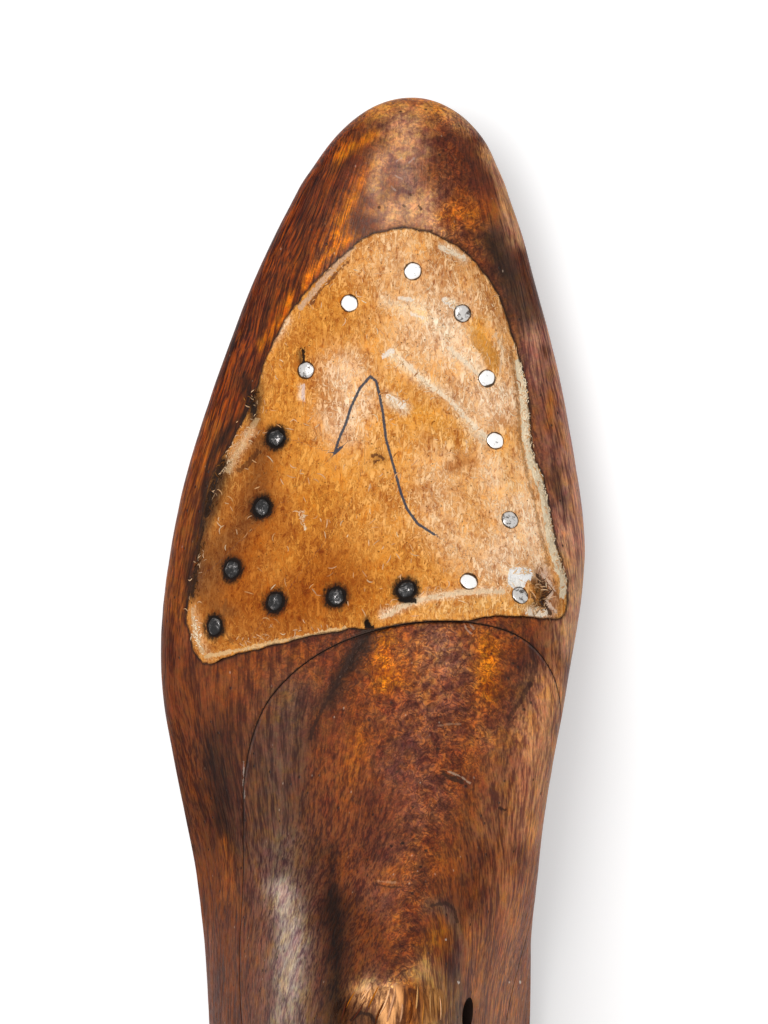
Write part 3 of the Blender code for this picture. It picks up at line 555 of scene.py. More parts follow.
def scoop_cutter(grown):
    """A cylinder across the last, its wall in small faces so that the cut can carry tones."""
    side = np.arange(-52.0, 52.1, CUT_STEP)
    turn = np.linspace(0, 2 * math.pi, SCOOP_FACETS, endpoint=False)
    radius = SCOOP_RADIUS + grown
    wall = [(x, radius * math.cos(a), radius * math.sin(a)) for x in side for a in turn]
    obj = add_object("scoop", mesh_from("scoop", wall, tube_faces(len(side), SCOOP_FACETS)))
    turn_outward(obj.data)
    return placed(obj, 0, *SCOOP_AXIS)


def scoop_floor(s):
    """The height of the scoop's floor."""
    return SCOOP_AXIS[1] - math.sqrt(SCOOP_RADIUS**2 - (s - SCOOP_AXIS[0]) ** 2)


# Holes and what stands in them, where the CAD has them
SCOOP_SPAN = SCOOP_REAR - SCOOP_FRONT
STEEL_SINK = 1.2
PIN_X = 7.0
PIN_AT = SCOOP_FRONT + 0.53 * SCOOP_SPAN
PIN_Z = scoop_floor(PIN_AT)
SCREW_X = 3.5
SCREW_AT = SCOOP_REAR - 24.0
SCREW_Z = cone_top_height(SCREW_AT) - STEEL_SINK
THIMBLE_X = 1.2
THIMBLE_AT = SCOOP_REAR + 17.0
THIMBLE_Z = cone_top_height(THIMBLE_AT) - STEEL_SINK
HOOK_HOLE_AT = SCOOP_FRONT + 0.649 * SCOOP_SPAN
HOOK_HOLE_Z = cone_top_height(HOOK_HOLE_AT) - 22.9
HOOK_HOLE_SKEW = math.radians(9.2)
HOOK_HOLE_RADIUS = 3.5

# Upright holes, as (radius, lowest, highest, and the place that they stand at)
HOLES = {
    "pin_hole": (2.8, -15.3, 15.3, PIN_X, PIN_AT, PIN_Z),
    "screw_hole": (2.7, -64.3, 6, SCREW_X, SCREW_AT, SCREW_Z),
    "screw_recess": (5.1, -3.3, 6, SCREW_X, SCREW_AT, SCREW_Z),
    "thimble_hole": (7.85, -43.3, 6, THIMBLE_X, THIMBLE_AT, THIMBLE_Z),
}


def hole(name):
    """A cutter for one of the upright holes."""
    radius, low, high, *place = HOLES[name]
    return placed(cylinder(name, radius, low, high), *place)


def hook_hole():
    """A cutter for the hole across the block that a hook pulls it out by."""
    obj = cylinder("hook_hole", HOOK_HOLE_RADIUS, -150, 150)
    obj.rotation_euler = (0, math.radians(90), HOOK_HOLE_SKEW)
    return placed(obj, 0, HOOK_HOLE_AT, HOOK_HOLE_Z)


def off_hook_axis(points):
    """The distance from the middle line of the hook hole."""
    off = points - (0, LENGTH / 2 - HOOK_HOLE_AT, HOOK_HOLE_Z)
    way = np.array((math.cos(HOOK_HOLE_SKEW), math.sin(HOOK_HOLE_SKEW), 0))
    return np.linalg.norm(off - (off @ way)[:, None] * way, axis=1)


def sharpen(mesh, degrees):
    """Shade smoothly, apart from edges sharper than this."""
    mesh.shade_smooth()
    mesh.set_sharp_from_angle(angle=math.radians(degrees))


SEAM_SIDE = 36.0


def seam_line(x):
    """How far from the toe the seam crosses the upper surface at these sides."""
    side = np.arange(-SEAM_SIDE, SEAM_SIDE + 0.5, 0.5)
    s = np.arange(108.0, 175.0, 0.25)
    z = wood_height(side, s)
    first = np.argmax(off_scoop(s[:, None], z) < 0, axis=0)
    return np.interp(x, side, s[first])


def leather_loop(fray):
    """The build-up's outline as (side, distance from the toe), with an uneven torn edge."""
    loop = smooth_loop([(x, SCOOP_FRONT - ahead) for x, ahead in LEATHER_EDGE], 14)
    back = np.roll(loop, 1, 0)
    way = np.roll(loop, -1, 0) - back
    outward = np.stack([way[:, 1], -way[:, 0]], axis=1)
    outward /= np.linalg.norm(outward, axis=1, keepdims=True)
    points = np.concatenate([loop, np.zeros((len(loop), 1))], axis=1)
    uneven = 0.6 * layered_noise(points, 3.2, 61) + 0.4 * lattice_noise(points, 0.9, 67)
    loop = loop - outward * (fray * (0.5 + 0.5 * uneven))[:, None]
    flush = smooth(loop[:, 0], -4, 1) * (1 - smooth(loop[:, 0], 19, 27))
    flush *= smooth(loop[:, 1], 108, 111)
    loop[:, 1] += flush * (seam_line(loop[:, 0]) - 0.3 - loop[:, 1])
    return loop


def wood_height(x, s):
    """The height of the wood's upper surface on a grid of sides x and distances s."""
    lateral, medial = upper_sides(s, 240)
    flank = np.concatenate([lateral, medial[:, ::-1][:, 1:]], axis=1)
    return np.array([np.interp(x, row[:, 0], row[:, 1]) for row in flank])


LEATHER_LOOP = leather_loop(0.9)


def surface_sampler():
    """Grids of the upper surface under the leather: sides, distances, points and normals."""
    x = np.arange(-45.0, 46.5, LEATHER_STEP)
    s = np.arange(26.0, 130.0, LEATHER_STEP)
    z = wood_height(x, s)
    slope_s, slope_x = np.gradient(z, s, x)
    normal = np.stack([-slope_x, slope_s, np.ones_like(z)], axis=-1)
    normal /= np.linalg.norm(normal, axis=-1, keepdims=True)
    side, far = np.meshgrid(x, s)
    points = np.stack([side, LENGTH / 2 - far, z], axis=-1)
    return x, s, points, normal


SIDES, DISTANCES, WOOD_POINTS, WOOD_NORMALS = surface_sampler()


def on_grid(grid, x, s):
    """Values of a grid over (distance, side), read between its points."""
    i = np.clip((np.asarray(s) - DISTANCES[0]) / LEATHER_STEP, 0, len(DISTANCES) - 1.001)
    j = np.clip((np.asarray(x) - SIDES[0]) / LEATHER_STEP, 0, len(SIDES) - 1.001)
    i0, j0 = i.astype(int), j.astype(int)
    a, b = (i - i0)[..., None], (j - j0)[..., None]
    if grid.ndim == 2:
        a, b = a[..., 0], b[..., 0]
    return ((1 - a) * (1 - b) * grid[i0, j0] + (1 - a) * b * grid[i0, j0 + 1]
            + a * (1 - b) * grid[i0 + 1, j0] + a * b * grid[i0 + 1, j0 + 1])


def edge_distance(points):
    """The distance of (side, distance) points inside the leather's edge; negative outside."""
    closed = np.concatenate([LEATHER_LOOP, LEATHER_LOOP[:1]])
    distance = np.abs(path_distance(points, closed))
    return np.where(inside(points, LEATHER_LOOP), distance, -distance)


# Forms on the leather, as (height, radius, roughness, path of picture points)
LEATHER_FORMS = (
    (-0.35, 4, 0.4, ((392, 352), (415, 374), (440, 392), (468, 420), (488, 440))),
    (-0.22, 3, 0.4, ((455, 352), (480, 372), (505, 392))),
    (-0.30, 5, 0.5, ((440, 246), (463, 256))),
    (-0.35, 4, 0.5, ((446, 300), (462, 312))),
    (0.45, 5, 0.9, ((300, 303), (318, 286), (334, 271), (352, 257))),
    (0.30, 5, 0.9, ((268, 345), (284, 322))),
    (0.40, 7, 0.9, ((227, 470), (236, 448), (250, 430))),
    (-0.45, 6, 0.8, ((246, 408), (252, 392))),
    (-0.50, 7, 0.8, ((204, 512), (212, 480), (222, 458))),
    (-0.40, 5, 0.7, ((190, 590), (196, 550))),
    (0.35, 9, 0.8, ((196, 618), (203, 645), (214, 652))),
    (-0.30, 4, 0.5, ((212, 603), (240, 598), (256, 606))),
    (0.45, 6, 0.9, ((527, 385), (529, 430), (538, 478), (548, 525), (560, 575))),
    (-0.55, 9, 0.9, ((542, 572), (548, 600), (540, 618))),
    (0.55, 6, 0.9, ((512, 574), (528, 574))),
    (0.40, 6, 0.9, ((530, 612), (545, 614))),
    (0.40, 3, 0.9, ((384, 616), (404, 606), (424, 598), (462, 592), (500, 592))),
    (-0.45, 2.5, 0.3, ((303, 348), (303, 360))),
    (-0.25, 3, 0.3, ((303, 388), (303, 399))),
    (-0.40, 4, 0.4, ((400, 600), (415, 600))),
    (-0.45, 4, 0.5, ((366, 622), (371, 630))),
    (-0.22, 5, 0.5, ((372, 458), (383, 460))),
    (0.25, 2, 0.6, ((304, 515), (306, 530))),
)


def leather_relief():
    """How high the leather stands above the wood, on the sampler's grid."""
    side, far = np.meshgrid(SIDES, DISTANCES)
    flat = np.stack([side.ravel(), far.ravel()], axis=1)
    within = edge_distance(flat).reshape(side.shape)
    at = np.stack([side, far, np.zeros_like(side)], axis=-1)
    rear = smooth(far, 106, 113.5)
    skive = 0.30 + 0.70 * smooth(within, -0.2, 4.5)
    rear_skive = 0.22 + 0.78 * smooth(within, 0.0, 6.0)
    high = LEATHER_TOPSIDE * (skive * (1 - rear) + rear_skive * rear)
    high = high - 0.10 * (1 + layered_noise(at, 9.0, 21))
    high = high - 0.07 * (1 + layered_noise(at, 1.7, 23, 2))
    plan = picture_point(WOOD_POINTS + WOOD_NORMALS * LEATHER_FULL).reshape(-1, 2)
    lumps = layered_noise(at, 1.5, 27, 2)
    for rise, radius, rough, path in LEATHER_FORMS:
        distance = path_distance(plan, path).reshape(side.shape)
        form = rise * np.exp(-((distance / radius) ** 2))
        high = high + form * (1 - rough + rough * (1 + 1.6 * lumps))
    for x, ahead, diameter, _ in TACKS.values():
        radius = np.hypot(side - x, far - (SCOOP_FRONT - ahead))
        near = np.exp(-((radius / (0.9 * diameter)) ** 4))
        high = high + near * (LEATHER_TOPSIDE - TACK_SINK - 0.1 - high)
        high = high + 0.12 * np.exp(-(((radius - 0.9 * diameter) / 0.6) ** 2))
    return np.clip(high, 0.25, LEATHER_TOPSIDE + 0.1)


LEATHER_HIGH = leather_relief()
LEATHER_POINTS = WOOD_POINTS + WOOD_NORMALS * LEATHER_HIGH[..., None]


def make_leather():
    """The build-up: a slab with the relief on top, cut to the torn outline."""
    rows, columns = LEATHER_HIGH.shape
    under = WOOD_POINTS - WOOD_NORMALS * 0.05
    points = np.concatenate([LEATHER_POINTS.reshape(-1, 3), under.reshape(-1, 3)])
    top = grid_faces(rows, columns, False)
    count = rows * columns
    faces = [f[::-1] for f in top] + [tuple(v + count for v in f) for f in top]
    border = (list(range(columns)) + [r * columns + columns - 1 for r in range(1, rows)]
              + [(rows - 1) * columns + c for c in range(columns - 2, -1, -1)]
              + [r * columns for r in range(rows - 2, 0, -1)])
    for a, b in zip(border, border[1:] + border[:1]):
        faces.append((a, b, b + count, a + count))
    slab = add_object("leather", mesh_from("leather", points, faces))
    turn_outward(slab.data)
    loop = [(x, LENGTH / 2 - s) for x, s in LEATHER_LOOP]
    cutter = prism("outline", loop, 5.0, 90.0)
    turn_outward(cutter.data)
    cut(slab, [cutter], "INTERSECT")
    return slab


def turn_outward(mesh):
    """Turn all faces of a closed mesh to its outside."""
    edit = bmesh.new()
    edit.from_mesh(mesh)
    bmesh.ops.recalc_face_normals(edit, faces=edit.faces)
    edit.to_mesh(mesh)
    edit.free()


# Tones, named for what they colour
BROWN = colour("70391C")
DEEP = colour("3A1D10")
BLACK = colour("1C0A05")
PITCH = colour("120401")
SOOTY = colour("46322A")
MAROON = colour("552617")
RUSSET = colour("64300E")
RUST = colour("6C300A")
ORANGE = colour("94501A")
AMBER = colour("AC6208")
HONEY_WOOD = colour("BE7C38")
CHESTNUT = colour("8A5638")
PINK_WEAR_AND_SHEEN = colour("C89470")
MAUVE = colour("8C6254")
ROSE = colour("6E4032")
SLATE = colour("624A40")
ASH = colour("A48E82")
PEAT = colour("583C30")
SHEEN = colour("C8B2A8")
PALE = colour("DA966A")
BLUSH_AND_SHEEN = colour("D2967E")
TAWNY = colour("B26E44")
WORN = colour("D09A74")
OLIVE = colour("D29C62")
RAW = colour("FCC492")
CREAM = colour("F4DDBB")
AGED = colour("7A5236")

# Soft tones laid over the wood, as (tone, strength, radius, path of picture points)
WOOD_STROKES = (
    (RUST, 0.98, 40, ((335, 120), (292, 205), (256, 300), (224, 400), (204, 480), (194, 560))),
    (ORANGE, 0.95, 22, ((212, 440), (194, 520), (180, 600))),
    (MAROON, 0.5, 6, ((200, 440), (186, 520), (172, 600))),
    (DEEP, 0.85, 9, ((330, 110), (300, 150), (268, 225), (240, 300), (214, 380))),
    (MAROON, 0.7, 8, ((322, 180), (292, 245), (268, 310), (240, 370))),
    (RUSSET, 0.7, 9, ((352, 138), (332, 190), (300, 262))),
    (AMBER, 0.9, 5, ((374, 134), (352, 146), (339, 158))),
    (AMBER, 0.98, 6, ((373, 166), (359, 188), (346, 206), (339, 226), (328, 250))),
    (MAROON, 0.9, 7, ((352, 166), (338, 186), (322, 214), (304, 250))),
    (AMBER, 0.98, 5, ((350, 237), (328, 256), (307, 278), (290, 299), (276, 320), (264, 342))),
    (RUSSET, 0.9, 8, ((322, 238), (300, 262), (280, 292), (262, 326))),
    (HONEY_WOOD, 0.9, 15, ((375, 106), (410, 98), (448, 106))),
    (ORANGE, 0.6, 8, ((362, 102), (350, 118))),
    # Pink on the toe's top: wear, with a painted highlight of the lamp laid into it
    (PINK_WEAR_AND_SHEEN, 0.9, 20, ((405, 128), (405, 150))),
    (PINK_WEAR_AND_SHEEN, 0.95, 17, ((395, 215), (425, 205), (432, 220))),
    (PINK_WEAR_AND_SHEEN, 0.6, 8, ((380, 160), (375, 195))),
    (MAUVE, 0.95, 13, ((402, 168), (410, 182))),
    (MAROON, 0.98, 19, ((458, 140), (468, 165), (474, 196))),
    (ORANGE, 0.95, 13, ((450, 214), (470, 212), (490, 214))),
    (PINK_WEAR_AND_SHEEN, 0.5, 8, ((448, 112), (470, 128))),
    (WORN, 0.95, 7, ((490, 150), (505, 195), (518, 240))),
    (SOOTY, 0.85, 15, ((492, 235), (505, 262), (520, 300), (530, 325))),
    (BLACK, 0.8, 9, ((494, 240), (508, 275))),
    # Pale pink along the right edge: worn wood with a painted sheen laid over it
    (BLUSH_AND_SHEEN, 0.9, 22, ((545, 345), (560, 410), (570, 480), (577, 540))),
    (ROSE, 0.8, 9, ((543, 350), (548, 400), (556, 450), (562, 500))),
    (MAROON, 0.6, 6, ((534, 390), (541, 440), (550, 480))),
    (AMBER, 0.6, 6, ((551, 396), (548, 430))),
    (WORN, 0.95, 16, ((572, 560), (575, 600), (568, 640))),
    (SOOTY, 0.6, 7, ((560, 470), (566, 520))),
    (BLACK, 0.95, 9, ((250, 380), (250, 410), (222, 440))),
    (BLACK, 0.85, 5, ((218, 448), (203, 500), (193, 560), (186, 610))),
    (BROWN, 0.95, 24, ((196, 690), (225, 680), (300, 662))),
    (RUSSET, 0.6, 10, ((186, 660), (190, 720))),
    (DEEP, 0.95, 22, ((214, 740), (220, 800), (226, 842))),
    (BLACK, 0.5, 9, ((216, 760), (224, 820))),
    (RUSSET, 0.95, 22, ((216, 880), (222, 950), (222, 1040))),
    (ORANGE, 0.6, 5, ((224, 842), (230, 900))),
    (ROSE, 0.6, 9, ((208, 940), (206, 1030))),
    (CHESTNUT, 0.9, 34, ((420, 650), (455, 668), (440, 690))),
    (MAUVE, 0.5, 12, ((440, 640), (446, 668))),
    (ORANGE, 0.6, 12, ((404, 640), (400, 672))),
    (AMBER, 0.95, 12, ((384, 640), (380, 664), (386, 682))),
    (AMBER, 0.80, 12, ((488, 646), (490, 695))),
    (ROSE, 0.9, 26, ((445, 706), (410, 735), (400, 770))),
    (BLACK, 0.98, 11, ((366, 632), (350, 662), (334, 692), (312, 738))),
    (ORANGE, 0.7, 12, ((362, 735), (350, 775))),
    (MAROON, 0.98, 17, ((532, 656), (524, 690), (508, 720))),
    (BLACK, 0.6, 6, ((528, 664), (520, 696))),
    (PALE, 0.82, 22, ((548, 690), (540, 720), (530, 780), (522, 830))),
    (TAWNY, 0.95, 24, ((514, 880), (508, 920), (500, 1040))),
    (WORN, 0.35, 9, ((556, 690), (548, 740), (540, 800))),
    (ROSE, 0.8, 24, ((430, 790), (420, 812))),
    (CHESTNUT, 0.85, 16, ((492, 740), (500, 780), (486, 830))),
    (ROSE, 0.8, 26, ((395, 860), (380, 900))),
    (ORANGE, 0.5, 12, ((410, 862), (385, 878))),
    (MAROON, 0.7, 14, ((372, 800), (370, 850))),
    (SLATE, 0.98, 32, ((276, 850), (284, 930), (286, 1040))),
    (PEAT, 0.95, 30, ((292, 700), (280, 740), (272, 800))),
    (BROWN, 0.7, 12, ((322, 720), (318, 790))),
    (ROSE, 0.6, 9, ((262, 880), (264, 1010))),
    (SHEEN, 0.7, 12, ((281, 892), (290, 930), (288, 985))),
    (ASH, 0.7, 14, ((286, 1006), (286, 1040))),
    # These two strokes lay a near-black band down the ridge's left flank: painted shade
    (BLACK, 0.7, 10, ((330, 850), (332, 890))),
    (PITCH, 0.98, 17, ((336, 900), (336, 960), (336, 1060))),
    (DEEP, 0.6, 10, ((354, 905), (352, 960))),
    (MAROON, 0.8, 12, ((368, 920), (370, 950))),
    (RUSSET, 0.85, 14, ((366, 925), (390, 960))),
    (BROWN, 0.6, 12, ((410, 930), (412, 950))),
    (SLATE, 0.8, 6, ((430, 905), (450, 906), (457, 930), (458, 1040))),
    (TAWNY, 0.8, 12, ((474, 930), (474, 990))),
    (AMBER, 0.5, 12, ((430, 955), (440, 930))),
    (OLIVE, 0.85, 13, ((425, 972), (438, 1000), (432, 1030))),
    (BROWN, 0.5, 5, ((416, 985), (428, 1004), (440, 1016))),
    (RAW, 0.98, 11, ((366, 996), (376, 1006), (392, 1004))),
    (RAW, 0.9, 9, ((392, 996), (390, 1030))),
    (AMBER, 0.7, 10, ((412, 992), (410, 1030))),
    (BLACK, 0.7, 4, ((350, 1020), (364, 1013), (378, 1024))),
    (AGED, 0.95, 110, ((395, 1150), (395, 1600))),
)


def laid_tones(points, normals, strokes, base, seed):
    """The base tone with the strokes laid over it where the surface faces up."""
    plan = picture_point(points)
    shift = [layered_noise(points, 6.0, seed), layered_noise(points, 6.0, seed + 5)]
    plan = plan + 7.0 * np.stack(shift, axis=1)
    up = smooth(normals[:, 2], -0.35, 0.15)
    tone = base
    for laid, strength, radius, path in strokes:
        distance = path_distance(plan, path)
        weight = (strength * up * np.exp(-((distance / radius) ** 2)))[:, None]
        tone = tone * (1 - weight) + laid * weight
    return tone


def wood_base(points):
    """Slow changes of tone all over the wood."""
    stretched = points * (1.0, 0.35, 1.0)
    tone = np.tile(BROWN, (len(points), 1))
    for laid, size, seed, low in ((DEEP, 16.0, 71, 0.0), (ORANGE, 12.0, 73, 0.15),
                                  (SLATE, 20.0, 79, 0.2), (MAROON, 9.0, 83, 0.1)):
        weight = 0.6 * smooth(layered_noise(stretched, size, seed), low, low + 0.5)[:, None]
        tone = tone * (1 - weight) + laid * weight
    return tone


def flow_across(points):
    """The side of each point, stretched so that a line of one value follows both sides."""
    s = np.clip(LENGTH / 2 - points[:, 1], 0, LENGTH)
    left, right = along(LATERAL_WIDE_X, s), along(MEDIAL_WIDE_X, s)
    return (points[:, 0] - (left + right) / 2) / (right - left) * 86


def depth_inside(points):
    """How deep points lie below the last's outer surface."""
    s = np.arange(100.0, LENGTH - 2, 2.0)
    lateral, medial = upper_sides(s, 200)
    depth = np.full(len(points), 9.0)
    far = LENGTH / 2 - points[:, 1]
    row = np.clip(np.round((far - s[0]) / 2.0).astype(int), 0, len(s) - 1)
    for i in np.unique(row):
        mine = row == i
        skin = np.concatenate([lateral[i], medial[i]])
        offset = points[mine][:, None, ::2] - skin[None, :, :]
        depth[mine] = np.sqrt((offset**2).sum(axis=-1)).min(axis=1)
    return np.minimum(depth, np.abs(cone_top_height(far) - points[:, 2]))


# The torn front edge of the sawn top, in picture points
TORN_FRONT = ((350, 1012), (380, 1004), (430, 1004))
TORN_WIDTH = 19


def dress_wood(obj, seed):
    """The tones and distances that the wood's shader reads."""
    mesh = obj.data
    at = vertices_of(mesh)
    put_value(mesh, "flow", flow_across(at))
    normals = normals_of(mesh)
    put_colour(mesh, "tone", laid_tones(at, normals, WOOD_STROKES, wood_base(at), seed))
    far = LENGTH / 2 - at[:, 1]
    put_value(mesh, "seam", np.clip(off_scoop(far, at[:, 2]), -8, 8))
    near = edge_distance(np.stack([at[:, 0], far], axis=1))
    put_value(mesh, "leather_edge", np.where(at[:, 2] > 16, np.clip(near, -8, 8), -8))
    top = cone_top_height(far) - at[:, 2]
    flat = np.clip((2.2 - top) / 1.6, 0, 1) * smooth(normals[:, 2], 0.5, 0.85)
    plan = picture_point(at)
    torn = np.exp(-((path_distance(plan, TORN_FRONT) / TORN_WIDTH) ** 4))
    put_value(mesh, "raw", np.maximum(flat * smooth(plan[:, 1], 1000, 1035), torn))
    # The hook hole's wall gets no depth, so its shader paints it dark all through: painted shade
    # inside the hole
    in_hole = off_hook_axis(at) < HOOK_HOLE_RADIUS + 0.1
    put_value(mesh, "depth", np.where(in_hole, 0, depth_inside(at)))


class Nodes:
    """A node tree that is filled one node at a time."""

    def __init__(self, tree):
        self.tree = tree

    def put(self, socket, value):
        """Link another node's value to a socket, or set a plain one there."""
        if isinstance(value, bpy.types.NodeSocket):
            self.tree.links.new(value, socket)
        else:
            socket.default_value = value

    def add(self, kind, inputs, **settings):
        """A new node with its inputs."""
        node = self.tree.nodes.new("ShaderNode" + kind)
        for key, value in settings.items():
            setattr(node, key, value)
        for key, value in inputs.items():
            self.put(node.inputs[key], value)
        return node

    def math(self, operation, a, b=0.0):
        return self.add("Math", {0: a, 1: b}, operation=operation).outputs[0]

    def chain(self, operation, *values):
        """One operation over all the values."""
        result = values[0]
        for value in values[1:]:
            result = self.math(operation, result, value)
        return result

    def total(self, *values):
        return self.chain("ADD", *values)

    def times(self, *values):
        return self.chain("MULTIPLY", *values)

    def most(self, *values):
        return self.chain("MAXIMUM", *values)

    def background_share(self):
        """1 for rays that see the background: those of the camera, of metal and of glass."""
        path = self.add("LightPath", {}).outputs
        return self.most(path["Is Camera Ray"], path["Is Glossy Ray"],
                         path["Is Transmission Ray"])


class Shader(Nodes):
    """A material made node by node."""

    def __init__(self, name):
        self.material = bpy.data.materials.new(name)
        self.material.use_nodes = True
        super().__init__(self.material.node_tree)
        self.surface = self.tree.nodes["Principled BSDF"]

    def vector(self, operation, a, b):
        return self.add("VectorMath", {0: a, 1: b}, operation=operation).outputs[0]

    def mix(self, factor, a, b, blend="MIX"):
        """From the colour a to the colour b as the factor rises."""
        a = (*a, 1) if isinstance(a, np.ndarray) else a
        b = (*b, 1) if isinstance(b, np.ndarray) else b
        node = self.add("Mix", {0: factor, 6: a, 7: b}, data_type="RGBA", blend_type=blend)
        return node.outputs[2]

    def noise(self, at, scale, detail=2.0, roughness=0.5, distortion=0.0, out="Fac"):
        """Cloudy noise about one half, or its colour."""
        inputs = {"Vector": at, "Scale": scale, "Detail": detail, "Roughness": roughness,
                  "Distortion": distortion}
        return self.add("TexNoise", inputs).outputs[out]

    def spots(self, at, scale):
        """The distance from the nearest of scattered spots, in their own spacing."""
        return self.add("TexVoronoi", {"Vector": at, "Scale": scale}).outputs["Distance"]

    def lines(self, at, scale, width, distortion):
        """1 along thin wandering lines."""
        level = self.noise(at, scale, 1.0, 0.5, distortion)
        return self.step(self.math("ABSOLUTE", self.about(level, 1.0)), width, 0.55 * width)

    def step(self, value, low, high, to_low=0.0, to_high=1.0):
        """A smooth rise from to_low at low to to_high at high."""
        inputs = {"Value": value, 1: low, 2: high, 3: to_low, 4: to_high}
        node = self.add("MapRange", inputs, interpolation_type="SMOOTHSTEP")
        return node.outputs[0]

    def attribute(self, name, out="Fac"):
        """What the mesh's points were given under this name."""
        node = self.add("Attribute", {}, attribute_name=name)
        return node.outputs[out]

    def millimetres(self):
        """The shaded place in the object, in millimetres."""
        place = self.add("TexCoord", {}).outputs["Object"]
        return self.vector("MULTIPLY", place, (1000.0, 1000.0, 1000.0))

    def turned(self, at, degrees, *factors):
        """A place turned about the vertical, then stretched."""
        inputs = {"Vector": at, "Rotation": (0, 0, math.radians(degrees)), "Scale": factors}
        return self.add("Mapping", inputs).outputs[0]

    def bump(self, height, distance, strength=1.0):
        """The normal over a relief of this height in millimetres."""
        inputs = {"Height": height, "Distance": distance * MM, "Strength": strength}
        return self.add("Bump", inputs).outputs["Normal"]

    def about(self, value, gain):
        """How far a value is from one half, times a gain."""
        return self.times(self.math("SUBTRACT", value, 0.5), gain)

    def scaled(self, at, *factors):
        return self.vector("MULTIPLY", at, factors)

    def split(self, at):
        return self.add("SeparateXYZ", {0: at}).outputs

    def join(self, *parts):
        return self.add("CombineXYZ", dict(enumerate(parts))).outputs[0]

    def tinted(self, base, factors, weight=1.0):
        """The colour multiplied by factors, as far as the weight says."""
        return self.mix(weight, base, self.mix(1.0, base, np.array(factors), "MULTIPLY"))

    def beside(self, at, ends):
        """The distance in plan from a short path."""
        gaps = []
        for a, b in zip(ends[:-1], ends[1:]):
            way = b - a
            off = self.vector("SUBTRACT", at, (*a, 0.0))
            reach = self.add("VectorMath", {0: off, 1: (*(way / (way @ way)), 0.0)},
                             operation="DOT_PRODUCT").outputs["Value"]
            reach = self.add("Clamp", {0: reach}).outputs[0]
            foot = self.add("VectorMath", {0: (*way, 0.0), "Scale": reach},
                            operation="SCALE").outputs[0]
            gap = self.scaled(self.vector("SUBTRACT", off, foot), 1.0, 1.0, 0.0)
            gaps.append(self.add("VectorMath", {0: gap}, operation="LENGTH").outputs["Value"])
        return self.chain("MINIMUM", *gaps)

    def marked(self, base, at, mark, ends, ragged, weight=1.0):
        """The colour with one small mark laid on it."""
        code, strength, width, _ = mark
        gap = self.total(self.beside(at, ends), ragged)
        share = self.step(gap, 0.5 * width + 0.14, 0.5 * width - 0.08, 0.0, strength)
        return self.mix(self.times(share, weight), base, colour(code))

    def finish(self, base, roughness, normal, **more):
        """Give the surface its sockets' values; a name's _ stands for a space."""
        values = {"Base Color": base, "Roughness": roughness, "Normal": normal}
        values.update((name.replace("_", " "), value) for name, value in more.items())
        for name, value in values.items():
            self.put(self.surface.inputs[name], value)
        return self.material


def surface_under(plan, height, z, rounds):
    """The sides and distances at which picture points show a surface, from its height there."""
    for _ in range(rounds):
        scale = PICTURE_SCALE / (CAMERA_HEIGHT - z)
        x = CAMERA_SIDE + (plan[..., 0] - PICTURE_CENTRE[0]) / scale
        s = CAMERA_FROM_TOE + (plan[..., 1] - PICTURE_CENTRE[1]) / scale
        z = 0.5 * (z + height(x, s))
    return np.stack([x, s], axis=-1)


def wood_point(plan):
    """The (side, y) of the wood's surface that one picture point shows."""
    def height(x, s):
        return min(wood_height(np.array([x]), np.array([s]))[0, 0], cone_top_height(s))

    x, s = surface_under(np.array(plan, float), height, 50.0, 12)
    return np.array([x, LENGTH / 2 - s])


def leather_point(plan):
    """The (side, distance) of the leather's surface that picture points show."""
    def height(x, s):
        return on_grid(WOOD_POINTS, x, s)[:, 2] + LEATHER_FULL

    return surface_under(plan, height, np.full(len(plan), 45.0), 10)


